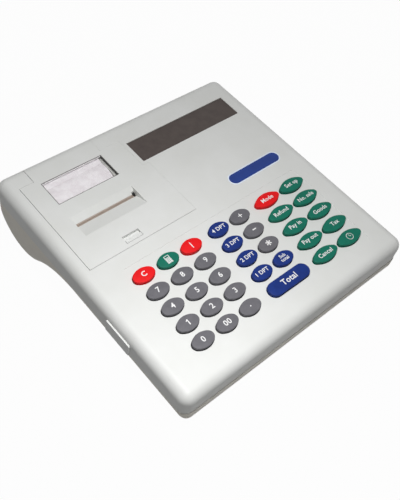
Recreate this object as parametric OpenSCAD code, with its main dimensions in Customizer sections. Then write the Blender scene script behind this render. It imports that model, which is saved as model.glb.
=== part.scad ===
// Ticket register: a small desk-top cash register with a receipt printer under a hinged cover.
// The pieces are drawn in the frame of the slab-shaped case: x to the operator's right, y to the
// back and z square to the deck, with z = 0 on the deck. in_row() then stands the case on its feet.

/* [Case] */
// Width of the case
case_w = 252.2; // [246:0.2:270]
// Depth of the upper case, front face to rear face
case_d = 253.2; // [250:0.2:260]
// Depth of the parting line below the deck
part_z = 22; // [21:0.5:24]
// Depth of the flat front underside below the deck
under_z = 29.6; // [28.6:0.2:33]
// Radius of the top edges and of the plan corners
edge_r = 9; // [7:0.5:10]
// Wall of both shells
wall = 2.4; // [2:0.1:2.6]
// How far the lower case stands proud at the front
front_lip = 0.6; // [0.2:0.1:1.2]
// Radius of the lower case's long side edges
keel_r = 6.5; // [4:0.5:6.5]
// Height of the front underside's edge over the table, which sets the tilt
front_rise = 1.855; // [1.6:0.005:6]
// Distance of the case screws from the sides
screw_in = 12.1; // [11.5:0.1:13]

/* [Belly] */
// Outer radius of the paper belly
belly_r = 37.5; // [37:0.5:40]
// Radius of the hollow sweep in front of the belly
sweep_r = 84; // [70:1:95]

/* [Feet and screws] */
// Radius of a rubber foot
foot_r = 6.5; // [4:0.5:8]
// Height of a rubber foot
foot_h = 1.5; // [1:0.1:3]
// Distance of each foot from the middle, to the side
foot_x = 96; // [80:1:100]
// Distance of the front feet from the middle, to the front
foot_y = 106; // [96:1:110]
// Radius of the case screws' threads
screw_r = 1.5; // [1.2:0.1:1.6]
// Radius of their heads
head_r = 2.9; // [2.4:0.1:3.1]

/* [Keys] */
// Row spacing
key_pitch = 17.83; // [17.2:0.01:18.4]
// Distance of the first key row behind the middle of the case
row_1 = -23.1; // [-24:0.1:-20]
// Column spacing of the number pad
pad_pitch = 24.5; // [23.8:0.1:25]
// First number column
pad_x = -83.35; // [-85:0.05:-82]
// Department column
dept_x = -4.2; // [-5:0.1:-3.8]
// Arithmetic column
sum_x = 20.45; // [20.2:0.05:21]
// Left function column
mode_x = 53.45; // [52.5:0.05:53.5]
// Right function column
list_x = 84.55; // [84.5:0.05:86]
// Middle of the total key
total_x = 9.1; // [8:0.1:9.4]
// Depth of every key, front to back
key_d = 13.2; // [12:0.1:14]
// Width of a number key
key_w = 20.2; // [18:0.1:21]
// Width of a function key
wide_key_w = 27.8; // [25:0.1:27.9]
// Width of the total key
total_w = 44.6; // [40:0.1:45]
// Height of a key's crown over the deck
key_rise = 3.4; // [1.6:0.1:4]
// Rounding of a key's upper edge
key_edge = 0.6; // [0.4:0.1:1.2]
// Key travel
key_travel = 1.4; // [0.8:0.1:1.5]
// Side clearance of a key in its well
key_gap = 0.3; // [0.2:0.05:0.35]
// Width of a key's retaining flange outside its sides
flange_w = 1.1; // [0.9:0.05:1.2]
// Depth of the shallow step round the key field
field_step = 0.3; // [0.15:0.05:0.5]

/* [Printer cover] */
// Left edge of the cover, from the left side of the case
cover_left = 12.2; // [11.1:0.1:13.1]
// Right edge of the cover in front of the display, from the left side of the case
cover_right = 121.7; // [121.1:0.1:123.1]
// Right edge of the cover beside the display, from the left side of the case
side_right = 114.9; // [114.1:0.1:115.1]
// Front edge of the cover, from the rear face
cover_front = 120.9; // [119.6:0.1:121.6]
// Where the cover steps in beside the display, from the rear face
side_front = 56.1; // [55.6:0.1:58.6]
// Where the cover narrows for its hinge, from the rear face
jog_front = 21.1; // [20.6:0.1:23.6]
// How much its left edge steps in there
jog_w = 13.9; // [12:0.1:15]
// Width of the hinged rear part
lip_w = 67.7; // [64:0.1:72]
// Thickness of the cover
cover_t = 2.5; // [2.2:0.1:2.8]
// Seam round the cover
seam = 0.35; // [0.3:0.05:0.5]
// Height of the hinge line below the deck
hinge_z = 14; // [13:0.5:15]
// Radius of the hinge barrel
barrel_r = 2.4; // [2.2:0.1:2.6]
// Radius of the hinge pins
pin_r = 1.1; // [0.9:0.05:1.2]
// Running clearance of shafts and pins
run_gap = 0.06; // [0.03:0.01:0.1]

/* [Roll window] */
// Left edge of the window, from the left side of the case
win_left = 29.7; // [28.1:0.1:31.1]
// Right edge of the window, from the left side of the case
win_right = 91.3; // [90.1:0.1:93.1]
// Front edge of the window, from the rear face
win_front = 53; // [48.6:0.1:54.6]
// Rear edge of the window, from the rear face
win_rear = 25.8; // [24.6:0.1:30.6]
// Thickness of the clear pane
pane_t = 1.2; // [0.8:0.1:1.5]

/* [Paper exit] */
// Left end of the hollow, from the left side of the case
exit_left = 28.9; // [28.1:0.1:29.6]
// Right end of the hollow, from the left side of the case
exit_right = 91.9; // [91.1:0.1:92.5]
// Front edge of the hollow, from the rear face
exit_front = 91.8; // [88.6:0.1:93.6]
// Rear edge of the hollow, from the rear face
exit_rear = 68.9; // [66.6:0.1:71.6]
// Middle of the slot in its bottom, from the rear face
slot_mid = 76.1; // [75.6:0.1:76.8]
// Width of the slot, front to back
slot_w = 2.8; // [2.6:0.1:3.2]
// Depth of the slot's mouth below the deck
slot_z = 5.5; // [4.5:0.1:6]
// Width of the tear bar, front to back
bar_w = 2.2; // [1.4:0.1:2.4]

/* [Cover latch] */
// Left edge of the finger opening, from the left side of the case
latch_left = 51.5; // [48.1:0.1:54.1]
// Right edge of the finger opening, from the left side of the case
latch_right = 68.1; // [66.1:0.1:71.1]
// Front edge of the finger opening, from the rear face
latch_front = 117; // [115.6:0.1:117.6]
// Rear edge of the finger opening, from the rear face
latch_rear = 109.4; // [108.6:0.1:109.8]
// Travel of the latch
latch_travel = 3; // [2:0.1:3.5]

/* [Paper roll] */
// Width of the paper
paper_w = 57.5; // [56:0.1:58]
// Left end of the roll, from the left side of the case
roll_left = 31.2; // [30.9:0.1:32.1]
// Clearance of a full roll under the cover and over the floor
roll_gap = 0.8; // [0.6:0.1:3]
// Outer radius of the roll's core
core_r = 6.2; // [6:0.1:9]
// Radius of the spindle
spindle_r = 4; // [3.2:0.1:5]
// Radius of the spindle's journals
journal_r = 2.5; // [2:0.1:3]

/* [Print unit] */
// Platen axis, from the rear face
platen_back = 82; // [81.6:0.1:82.6]
// Platen axis, below the deck
platen_z = 17.5; // [17:0.1:18]
// Radius of the platen's rubber
platen_r = 5; // [4.5:0.1:5.2]
// Radius of the platen's shaft
shaft_r = 1.5; // [1.2:0.1:2]
// Gear module
gear_m = 0.8; // [0.7:0.05:0.8]
// Width of the gears
gear_w = 4; // [3:0.2:4.4]
// Teeth of the platen gear
platen_teeth = 24; // [20:1:24]
// Teeth of the idler
idler_teeth = 20; // [18:1:21]
// Teeth of the motor pinion
pinion_teeth = 12; // [10:1:13]
// Extra centre distance of a gear pair
gear_slack = 0.2; // [0.1:0.05:0.3]
// Radius of the stepper motor's can
motor_r = 7.5; // [6:0.1:7.8]

/* [Display] */
// Left edge of the display, from the cover beside it
disp_left = 3.8; // [3.8:0.1:5.2]
// Right edge of the display, from the right side of the case
disp_right = 17.3; // [16.1:0.1:22.1]
// Front edge of the display, from the rear face
disp_front = 52.7; // [49.6:0.1:53.1]
// Rear edge of the display, from the rear face
disp_rear = 26.8; // [26.6:0.1:30.6]
// Recess of the filter below the deck
disp_dip = 0.8; // [0.4:0.1:0.9]

/* [Badge and port] */
// Middle of the badge, from the right side of the case
badge_right = 54; // [50.1:0.1:58.1]
// Middle of the badge, from the rear face
badge_back = 114.5; // [110.6:0.1:118.6]
// Length of the badge
badge_l = 60.5; // [50:0.5:62]
// Width of the badge
badge_w = 12; // [9:0.1:12.4]
// Thickness of the badge
badge_t = 0.7; // [0.5:0.1:1]
// How far the badge stands out of the deck
badge_rise = 0.2; // [0.1:0.05:0.3]
// Front edge of the port cover
port_y0 = -62.4; // [-66:0.1:-60]
// Rear edge of the port cover
port_y1 = -33.5; // [-36:0.1:-30]
// Height of the port cover above the parting line
port_h = 13; // [11:0.5:13]
// How far the port cover stands out of the wall
port_proud = 1.3; // [0.8:0.1:2]

/* [Hidden] */
$fn = 48;
hw = case_w / 2;
hd = case_d / 2;

// Edges and axes of the pieces that keep to the left side, the right side or the rear of the case
cover_x0 = cover_left - hw;
cover_x1 = cover_right - hw;
side_x1 = side_right - hw;
cover_y0 = hd - cover_front;
side_y = hd - side_front;
jog_y = hd - jog_front;
win_x0 = win_left - hw;
win_x1 = win_right - hw;
win_y0 = hd - win_front;
win_y1 = hd - win_rear;
exit_x0 = exit_left - hw;
exit_x1 = exit_right - hw;
exit_y0 = hd - exit_front;
exit_y1 = hd - exit_rear;
slot_y = hd - slot_mid;
latch_x0 = latch_left - hw;
latch_x1 = latch_right - hw;
latch_y0 = hd - latch_front;
latch_y1 = hd - latch_rear;
roll_x0 = roll_left - hw;
platen_y = hd - platen_back;
disp_x0 = side_x1 + disp_left;
disp_x1 = hw - disp_right;
disp_y0 = hd - disp_front;
disp_y1 = hd - disp_rear;
badge_x = hw - badge_right;
badge_y = hd - badge_back;

// How far a cut runs past the face it opens
past = 1;
// How far a rib or post sinks into the wall that carries it
root = 0.4;
// Clearance between pieces that lie side by side
side_gap = 0.3;
// Clearance of a piece pressed or glued into its seat
seat_gap = 0.1;
// Step by which the flat stops short of the sweep's surface where the two run into each other
join_step = 0.02;

// Belly and sweep, as arcs about two axes along x; the two meet on the line of their centres
belly_y = hd - belly_r;
sweep_len = sweep_r + belly_r;
sweep_drop = belly_r + part_z - under_z;
sweep_a = acos(1 - sweep_drop / sweep_len);
sweep_y = belly_y - sweep_len * sin(sweep_a);
floor_z = wall - under_z;

// The row's frame: the case tilted on its feet, its box centred on x and y, its feet at z = 0. The
// tilt brings the belly's pads to the height of the feet and the front edge to its own height
pad_rise = 0.4;
pad_r = foot_r + 1.2;
tilt = asin((belly_r + pad_rise + foot_h - front_rise) / norm([belly_y + hd, under_z - part_z]))
  - atan((under_z - part_z) / (belly_y + hd));
row_z = foot_h + pad_rise + belly_r - belly_y * sin(tilt) + part_z * cos(tilt);
front_y = edge_r * sin(tilt) - (hd - edge_r) * cos(tilt) - edge_r;
rear_y = belly_y * cos(tilt) + part_z * sin(tilt) + belly_r;
row_y = -(front_y + rear_y) / 2;
row_x = port_proud / 2;

// Case screws: places, and heights of the head and the tip
screw_x = hw - screw_in;
screw_rows = [-hd + 14.6, -3.5, hd - 13.6];
boss_r = 4.2;
head_top = 2 - under_z + 0.6;
head_h = 2;
screw_tip = -9;

// Keys: heights below the deck
flange_top = wall + side_gap;
flange_t = 0.9;
stem_r = 3;
stem_foot = 5;
dome_z = stem_foot + key_travel + side_gap;
mat_t = 0.8;
mat_z = dome_z + 0.6;
board_t = 1.6;
board_z = mat_z + mat_t;
post_r = 2.2;
post_x = [
  pad_x - key_w / 2 - 4.75, (pad_x + 2 * pad_pitch + dept_x) / 2, (sum_x + mode_x) / 2 + 1.75,
  list_x + wide_key_w / 2 + 2.55
];
post_y = [row_1 - key_pitch / 2, row_1 - 3.5 * key_pitch];
// Key field: its edges and its corner radius
field_x0 = post_x[0] + 1.7;
field_x1 = post_x[3];
field_y0 = row_1 - 4 * key_pitch - key_d / 2 - 5;
field_y1 = row_1 + key_d / 2 + 7.5;
field_r = 4;
key_red = [0.86, 0.10, 0.08];
key_green = [0.05, 0.42, 0.33];
key_blue = [0.10, 0.16, 0.50];
key_grey = [0.38, 0.38, 0.39];
// Each key: name, middle x, row counted from the back, width, colour
KEYS = [
  ["key_clear", pad_x, 0, key_w, key_red],
  ["key_digit_7", pad_x, 1, key_w, key_grey],
  ["key_digit_4", pad_x, 2, key_w, key_grey],
  ["key_digit_1", pad_x, 3, key_w, key_grey],
  ["key_digit_0", pad_x, 4, key_w, key_grey],
  ["key_calculator", pad_x + pad_pitch, 0, key_w, key_green],
  ["key_digit_8", pad_x + pad_pitch, 1, key_w, key_grey],
  ["key_digit_5", pad_x + pad_pitch, 2, key_w, key_grey],
  ["key_digit_2", pad_x + pad_pitch, 3, key_w, key_grey],
  ["key_double_zero", pad_x + pad_pitch, 4, key_w, key_grey],
  ["key_feed", pad_x + 2 * pad_pitch, 0, key_w, key_red],
  ["key_digit_9", pad_x + 2 * pad_pitch, 1, key_w, key_grey],
  ["key_digit_6", pad_x + 2 * pad_pitch, 2, key_w, key_grey],
  ["key_digit_3", pad_x + 2 * pad_pitch, 3, key_w, key_grey],
  ["key_point", pad_x + 2 * pad_pitch, 4, key_w, key_grey],
  ["key_department_4", dept_x, 0, key_w, key_blue],
  ["key_department_3", dept_x, 1, key_w, key_blue],
  ["key_department_2", dept_x, 2, key_w, key_blue],
  ["key_department_1", dept_x, 3, key_w, key_blue],
  ["key_plus", sum_x, 0, key_w, key_grey],
  ["key_minus", sum_x, 1, key_w, key_grey],
  ["key_multiply", sum_x, 2, key_w, key_grey],
  ["key_subtotal", sum_x, 3, key_w, key_blue],
  ["key_total", total_x, 4, total_w, key_blue],
  ["key_mode", mode_x, 0, wide_key_w, key_red],
  ["key_refund", mode_x, 1, wide_key_w, key_green],
  ["key_pay_in", mode_x, 2, wide_key_w, key_green],
  ["key_pay_out", mode_x, 3, wide_key_w, key_green],
  ["key_cancel", mode_x, 4, wide_key_w, key_green],
  ["key_settings", list_x, 0, wide_key_w, key_green],
  ["key_journal", list_x, 1, wide_key_w, key_green],
  ["key_goods", list_x, 2, wide_key_w, key_green],
  ["key_tax", list_x, 3, wide_key_w, key_green],
  ["key_clock", list_x, 4, wide_key_w, key_green]
];

// Cover: the hinge line, and the sweep of the edges that pass the case as the cover swings
hinge_y = hd - barrel_r;
lip_x0 = cover_x0 + jog_w;
lip_x1 = lip_x0 + lip_w;
side_swing = norm([hinge_y - side_y, hinge_z]);
jog_swing = norm([hinge_y - jog_y, hinge_z]);
skirt_t = 1.4;
skirt_z = part_z - 2;
ledge_w = 1.6;
ledge_t = 1.5;
jog_stop = 8;
side_stop = 6;
latch_stop = 5;
notch_w = 2.8;
notch_d = 1.6;
ear_w = 3.2;
pin_in = 8;
window_lap = 1.3;
exit_wall = 1.8;
slot_y0 = slot_y - slot_w / 2;
slot_y1 = slot_y + slot_w / 2;
slot_rear_z = slot_z - 0.9;
exit_foot = slot_z + 2;
bar_top = slot_z + 0.1;
bar_h = 3;
bar_teeth = 40;
tooth_h = 0.5;
slide_z = cover_t + side_gap;
slide_t = 1.7;
slide_lap = 1.1;
slide_y1 = latch_y1 + latch_travel + 1;
tab_y1 = latch_y1 - latch_travel - 1.2;
rail_w = 1.1;
rail_y = [cover_y0 + 3, slide_y1 - 1];

// Print unit: side plates, gears on the right of the right plate, motor on the left of it
frame_t = 1.6;
frame_x0 = exit_x0 - 2.8;
frame_x1 = exit_x1 + 1.8;
plate_top = 8.4;
base_z = -27;
base_t = 1.4;
plate_y0 = exit_y0 + 1;
plate_y1 = exit_y1 + 1.5;
roller_x0 = exit_x0 + 1;
roller_x1 = exit_x1 - 1;
head_y = platen_y + platen_r + side_gap;
head_t = 2.6;
bearing_r = 3;
idler_dir = 170;
pinion_dir = 190;
idler_at = [
  platen_y + (gear_m * (platen_teeth + idler_teeth) / 2 + gear_slack) * cos(idler_dir),
  -platen_z + (gear_m * (platen_teeth + idler_teeth) / 2 + gear_slack) * sin(idler_dir)
];
pinion_at = [
  idler_at[0] + (gear_m * (idler_teeth + pinion_teeth) / 2 + gear_slack) * cos(pinion_dir),
  idler_at[1] + (gear_m * (idler_teeth + pinion_teeth) / 2 + gear_slack) * sin(pinion_dir)
];
idler_turn = idler_dir + 180 - 180 / idler_teeth;
idler_share = idler_teeth * (pinion_dir - idler_turn) / 360;
pinion_turn = pinion_dir + 180 - (0.5 - idler_share + floor(idler_share)) * 360 / pinion_teeth;
gear_x = frame_x1 + frame_t / 2 + 1;
motor_len = 17;
motor_shaft = 1;

// Paper roll: it turns under the belly's axis and fills the space between the cover and the floor
roll_y = belly_y;
roll_r = (belly_r + part_z - wall - cover_t) / 2 - roll_gap;
roll_z = cover_t + roll_gap + roll_r;

// Roll cradle: two cheeks with open slots for the spindle's journals, and bars that tie them
cheek_t = 2;
cheek_gap = 1.1;
cheek_x0 = roll_x0 - cheek_gap;
cheek_x1 = roll_x0 + paper_w + cheek_gap;
cheek_top = 6.5;
cheek_w = 35;
tie_t = 2;
tie_h = 8;
tie_gap = 1.4;
cradle_y = [roll_y - roll_r - tie_gap - tie_t, roll_y + roll_r + tie_gap + tie_t];
// Posts of the print unit; the rear ones keep clear of the cradle
frame_post_y = [plate_y0 + 3, min(plate_y1 - 3, cradle_y[0] - post_r - side_gap)];

// Display and main board
lap = 1.5;
filter_t = 1.3;
tube_z = disp_dip + filter_t + 0.5;
tube_t = 6;
board_rim = 7.5;
display_board = [disp_x0 + 7.1, disp_y0 - board_rim, disp_x1 - 1.9, disp_y1 + board_rim];
main_x = [-62, 70];
main_y = [-92, -12];
main_z = -23.2;

// Ribs of the lower case
rib_t = wall / 2;
rib_h = 2.5;
rib_x = hw - 26;
rib_rows = [main_y[0] - 8, main_y[1] + 18];
cross_rib_x = [10, 45, 80];
cross_rib_h = 5.6;

module in_row() {
  translate([row_x, row_y, row_z]) rotate([tilt, 0, 0]) children();
}

// Box between two corners
module block(low, high) {
  translate(low) cube(high - low);
}

// Cylinder along x
module rod(x0, x1, y, z, r) {
  translate([x0, y, z]) rotate([0, 90, 0]) cylinder(r = r, h = x1 - x0);
}

// Upright cylinder
module post(x, y, z0, z1, r) {
  translate([x, y, z0]) cylinder(r = r, h = z1 - z0);
}

// Side view outline, drawn as (y, z), carried along x
module along_x(x0, x1) {
  translate([x0, 0, 0]) rotate([90, 0, 90]) linear_extrude(x1 - x0) children();
}

// Turn about an axis along x, from pointing down towards the back: the outline's x is the radius
module about_x(angle) {
  rotate([0, 90, 0]) rotate_extrude(angle = angle) children();
}

// Quarter disc in the first quadrant
module quarter(r) {
  intersection() {
    circle(r);
    square(r);
  }
}

// Rectangle with round corners, made of pieces that share their edges
module plan(w, d, r) {
  square([w, d - 2 * r], center = true);
  for (s = [-1, 1])
    translate([0, s * (d - r) / 2]) square([w - 2 * r, r], center = true);
  for (sx = [0, 1], sy = [0, 1])
    mirror([sx, 0]) mirror([0, sy]) translate([w / 2 - r, d / 2 - r]) quarter(r);
}

// Rectangle with half-round ends
module pill(l, w) {
  square([l - w, w], center = true);
  for (sx = [0, 1], sy = [0, 1])
    mirror([sx, 0]) mirror([0, sy]) translate([(l - w) / 2, 0]) quarter(w / 2);
}

// Slab from z = -h to z = 0 with round top edges and round plan corners, all of radius r
module slab(w, d, h, r) {
  translate([0, 0, -h]) linear_extrude(h - r) plan(w, d, r);
  translate([0, 0, -r]) linear_extrude(r) square([w - 2 * r, d - 2 * r], center = true);
  for (s = [0, 1]) {
    mirror([0, s, 0]) translate([0, d / 2 - r, -r]) along_x(-w / 2 + r, w / 2 - r) quarter(r);
    mirror([s, 0, 0]) translate([w / 2 - r, d / 2 - r, -r])
      rotate([90, 0, 0]) linear_extrude(d - 2 * r) quarter(r);
    for (u = [0, 1])
      mirror([s, 0, 0]) mirror([0, u, 0]) translate([w / 2 - r, d / 2 - r, -r])
        rotate_extrude(angle = 90) quarter(r);
  }
}

// Section of the lower case: half-width hx, from y = 0 down to y = -h, lower corners of radius r
module keel(hx, h, r) {
  translate([-hx, -h + r]) square([2 * hx, h - r]);
  translate([-hx + r, -h]) square([2 * (hx - r), r]);
  for (s = [0, 1])
    mirror([s, 0]) translate([hx - r, -h + r]) mirror([0, 1]) quarter(r);
}

// The lower case up to z = top, drawn in by inset: the keel section is carried along the flat,
// down the hollow sweep and round the belly
module keel_body(inset, top) {
  hx = hw - inset;
  r = keel_r - inset;
  intersection() {
    union() {
      translate([0, sweep_y + past, top]) rotate([90, 0, 0])
        linear_extrude(hd + front_lip - inset + sweep_y + past)
          keel(hx, under_z - inset + top - join_step, r);
      translate([0, belly_y, -part_z]) rotate([-sweep_a, 0, 0]) {
        translate([0, 0, -sweep_len]) rotate([180, 0, 0]) about_x(sweep_a)
          translate([sweep_len, 0]) rotate(-90) keel(hx, belly_r - inset, r);
        about_x(100 + sweep_a) rotate(90) keel(hx, belly_r - inset, r);
      }
    }
    translate([0, -front_lip / 2, -3 * belly_r]) linear_extrude(3 * belly_r + top)
      plan(case_w - 2 * inset, case_d + front_lip - 2 * inset, edge_r - inset);
  }
}

// Half of a key's section: the height of the cap against the distance from its middle
module key_section(r) {
  translate([0, -flange_top]) square([r, flange_top + key_rise - key_edge]);
  translate([0, key_rise - key_edge - root]) square([r - key_edge, key_edge + root]);
  translate([r - key_edge, key_rise - key_edge]) quarter(key_edge);
  translate([0, -flange_top - flange_t]) square([r + flange_w, flange_t]);
}

// An oval of the width w and the depth key_d, from four arcs. They meet on lines that rise 4 for a
// run of 3, so with the unit u the end arcs' centres lie at x = 3u and the long arcs' at y = -4u
function unit(w) = (w - key_d) / 4;
function end_r(w) = key_d / 2 - unit(w);
function long_r(w) = key_d / 2 + 4 * unit(w);
module long_wedge(w) {
  x = 3 * unit(w);
  polygon([[-x, 0], [x, 0], [x + 15, 20], [-x - 15, 20]]);
}
module end_wedge(w) {
  x = 3 * unit(w);
  polygon([[x, 0], [x + 15, 20], [x + 30, 20], [x + 30, -20], [x + 15, -20]]);
}

// Outline of the oval, grown by g
module oval(w, g) {
  for (m = [0, 1]) {
    mirror([0, m]) intersection() {
      translate([0, -4 * unit(w)]) circle(long_r(w) + g);
      long_wedge(w);
    }
    mirror([m, 0]) intersection() {
      translate([3 * unit(w), 0]) circle(end_r(w) + g);
      end_wedge(w);
    }
  }
}

// Cap of an oval key
module oval_cap(w) {
  for (m = [0, 1]) {
    mirror([0, m, 0]) intersection() {
      translate([0, -4 * unit(w), 0]) rotate_extrude() key_section(long_r(w));
      translate([0, 0, -part_z]) linear_extrude(2 * part_z) long_wedge(w);
    }
    mirror([m, 0, 0]) intersection() {
      translate([3 * unit(w), 0, 0]) rotate_extrude() key_section(end_r(w));
      translate([0, 0, -part_z]) linear_extrude(2 * part_z) end_wedge(w);
    }
  }
}

// Cap of the total key, straight between two half-round ends
module pill_cap(w) {
  half = (w - key_d) / 2;
  for (s = [0, 180])
    rotate(s) translate([half, 0, 0]) rotate(-90) rotate_extrude(angle = 180) key_section(key_d / 2);
  for (s = [0, 1])
    mirror([0, s, 0]) along_x(-half, half) key_section(key_d / 2);
}

// A key in its place, with the stem that presses its dome
module key_cap(k) {
  translate([k[1], row_1 - k[2] * key_pitch, 0]) {
    if (k[3] < 3 * key_d)
      oval_cap(k[3]);
    else
      pill_cap(k[3]);
    post(0, 0, -stem_foot, -flange_top - flange_t + root, stem_r);
  }
}

// The well of a key, grown by g all round
module key_well(k, g, z0, z1) {
  translate([k[1], row_1 - k[2] * key_pitch, z0]) linear_extrude(z1 - z0)
    if (k[3] < 3 * key_d)
      oval(k[3], g);
    else
      pill(k[3] + 2 * g, key_d + 2 * g);
}

// The space of the cover seen from above, grown by g and down to z = z0. The rear edges that
// pass the case are arcs about the hinge line
module cover_zone(g, z0) {
  for (e = [[cover_x1, side_swing], [side_x1, jog_swing]])
    difference() {
      block([cover_x0 - g, cover_y0 - g, z0], [e[0] + g, hinge_y, past]);
      rod(cover_x0 - g - past, e[0] + g + past, hinge_y, -hinge_z, e[1] - g);
    }
  block([lip_x0 - g, cover_y0 + past, z0], [lip_x1 + g, hd + past, past]);
}

module post_places() {
  for (x = post_x, y = post_y)
    translate([x, y, 0]) children();
}

module screw_places() {
  for (s = [-1, 1], y = screw_rows)
    translate([s * screw_x, y, 0]) children();
}

module upper_case() {
  color([0.86, 0.86, 0.83]) in_row() difference() {
    union() {
      difference() {
        slab(case_w, case_d, part_z, edge_r);
        translate([0, 0, -wall]) slab(case_w - 2 * wall, case_d - 2 * wall, part_z, edge_r - wall);
      }
      // Skirts round the printer bay and ears for the hinge, which end in the shell's wall
      intersection() {
        union() {
          cover_zone(seam + skirt_t, -skirt_z);
          for (x = [lip_x0 - seam - ear_w, lip_x1 + seam])
            block([x, hinge_y - barrel_r - 1, -hinge_z - barrel_r - 1], [x + ear_w, hd, 0]);
        }
        translate([0, 0, root - wall])
          slab(case_w - 2 * wall + 2 * root, case_d - 2 * wall + 2 * root, part_z, edge_r - wall + root);
      }
      screw_places() post(0, 0, -part_z, -wall + root, boss_r);
      post_places() post(0, 0, -board_z, -wall + root, post_r);
      for (x = [display_board[0] + 3, display_board[2] - 3])
        for (y = [display_board[1] + 3, display_board[3] - 3])
          post(x, y, -tube_z - tube_t, -wall + root, post_r);
    }
    cover_zone(seam, -hinge_z - barrel_r - 0.6);
    // The bay under the cover, in front of the rear wall
    intersection() {
      cover_zone(seam, -part_z);
      block([-hw, -hd, -part_z - past], [hw, hd - wall, past]);
    }
    for (x = [lip_x0 - seam - ear_w, lip_x1 + seam])
      rod(x - past, x + ear_w + past, hinge_y, -hinge_z, pin_r + run_gap / 2);
    for (k = KEYS)
      key_well(k, key_gap, -wall - past, past);
    // The key field lies a step lower than the deck
    translate([(field_x0 + field_x1) / 2, (field_y0 + field_y1) / 2, -field_step])
      linear_extrude(wall) plan(field_x1 - field_x0, field_y1 - field_y0, field_r);
    // Display opening and the seat of its filter
    block([disp_x0, disp_y0, -wall - past], [disp_x1, disp_y1, past]);
    block([disp_x0 - lap, disp_y0 - lap, -wall - past], [disp_x1 + lap, disp_y1 + lap, -disp_dip]);
    // Badge seat
    translate([badge_x, badge_y, -badge_t + badge_rise]) linear_extrude(badge_t)
      pill(badge_l + 2 * seat_gap, badge_w + 2 * seat_gap);
    block([-hw - past, port_y0 + 3, -part_z - past], [-hw + wall + past, port_y1 - 3, -part_z + port_h - 3]);
    screw_places() post(0, 0, -part_z - past, screw_tip + 0.5, screw_r + run_gap);
  }
  // Ledge that the cover rests over
  color([0.86, 0.86, 0.83]) in_row() {
    z0 = -cover_t - side_gap - ledge_t;
    z1 = -cover_t - side_gap;
    block([cover_x0 - seam - root, cover_y0 + ledge_w, z0],
      [cover_x0 - seam + ledge_w, jog_y - jog_stop, z1]);
    block([cover_x1 + seam - ledge_w, cover_y0 + ledge_w, z0],
      [cover_x1 + seam + root, side_y - side_stop, z1]);
    block([cover_x0 - seam - root, cover_y0 - seam - root, z0],
      [latch_x0 - latch_stop, cover_y0 + ledge_w, z1]);
    block([latch_x1 + latch_stop, cover_y0 - seam - root, z0],
      [cover_x1 + seam + root, cover_y0 + ledge_w, z1]);
  }
}

module lower_case() {
  color([0.83, 0.83, 0.80]) in_row() difference() {
    union() {
      difference() {
        union() {
          keel_body(0, -part_z);
          // Pads of the feet, from the feet up into the shell
          intersection() {
            foot_places() post(0, 0, foot_h, 2 * belly_r, pad_r);
            block([-hw, -hd, -3 * belly_r], [hw, hd, -part_z - wall / 2]);
          }
        }
        keel_body(wall, past - part_z);
      }
      intersection() {
        keel_body(wall / 2, -part_z);
        lower_posts();
      }
    }
    screw_places() {
      post(0, 0, -2 * belly_r, -part_z + past, screw_r + 0.2);
      post(0, 0, -3 * belly_r, head_top, head_r + 0.3);
    }
  }
}

// Everything that stands on the floor of the lower case
module lower_posts() {
  screw_places() post(0, 0, -3 * belly_r, -part_z, boss_r + 1);
  for (x = [main_x[0] + 4, main_x[1] - 4], y = [main_y[0] + 4, main_y[1] - 4])
    post(x, y, -3 * belly_r, main_z, post_r);
  for (x = [frame_x0 + 4, frame_x1 - 4], y = frame_post_y)
    post(x, y, -3 * belly_r, base_z - base_t, post_r);
  // Stiffening ribs in front of and behind the board
  for (y = rib_rows)
    block([-rib_x, y, -3 * belly_r], [rib_x, y + rib_t, floor_z + rib_h]);
  // Cross ribs in the belly, on the right of the paper bay
  for (x = cross_rib_x)
    block([x, belly_y - belly_r, -3 * belly_r], [x + rib_t, hd, wall + cross_rib_h - part_z - belly_r]);
}

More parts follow.
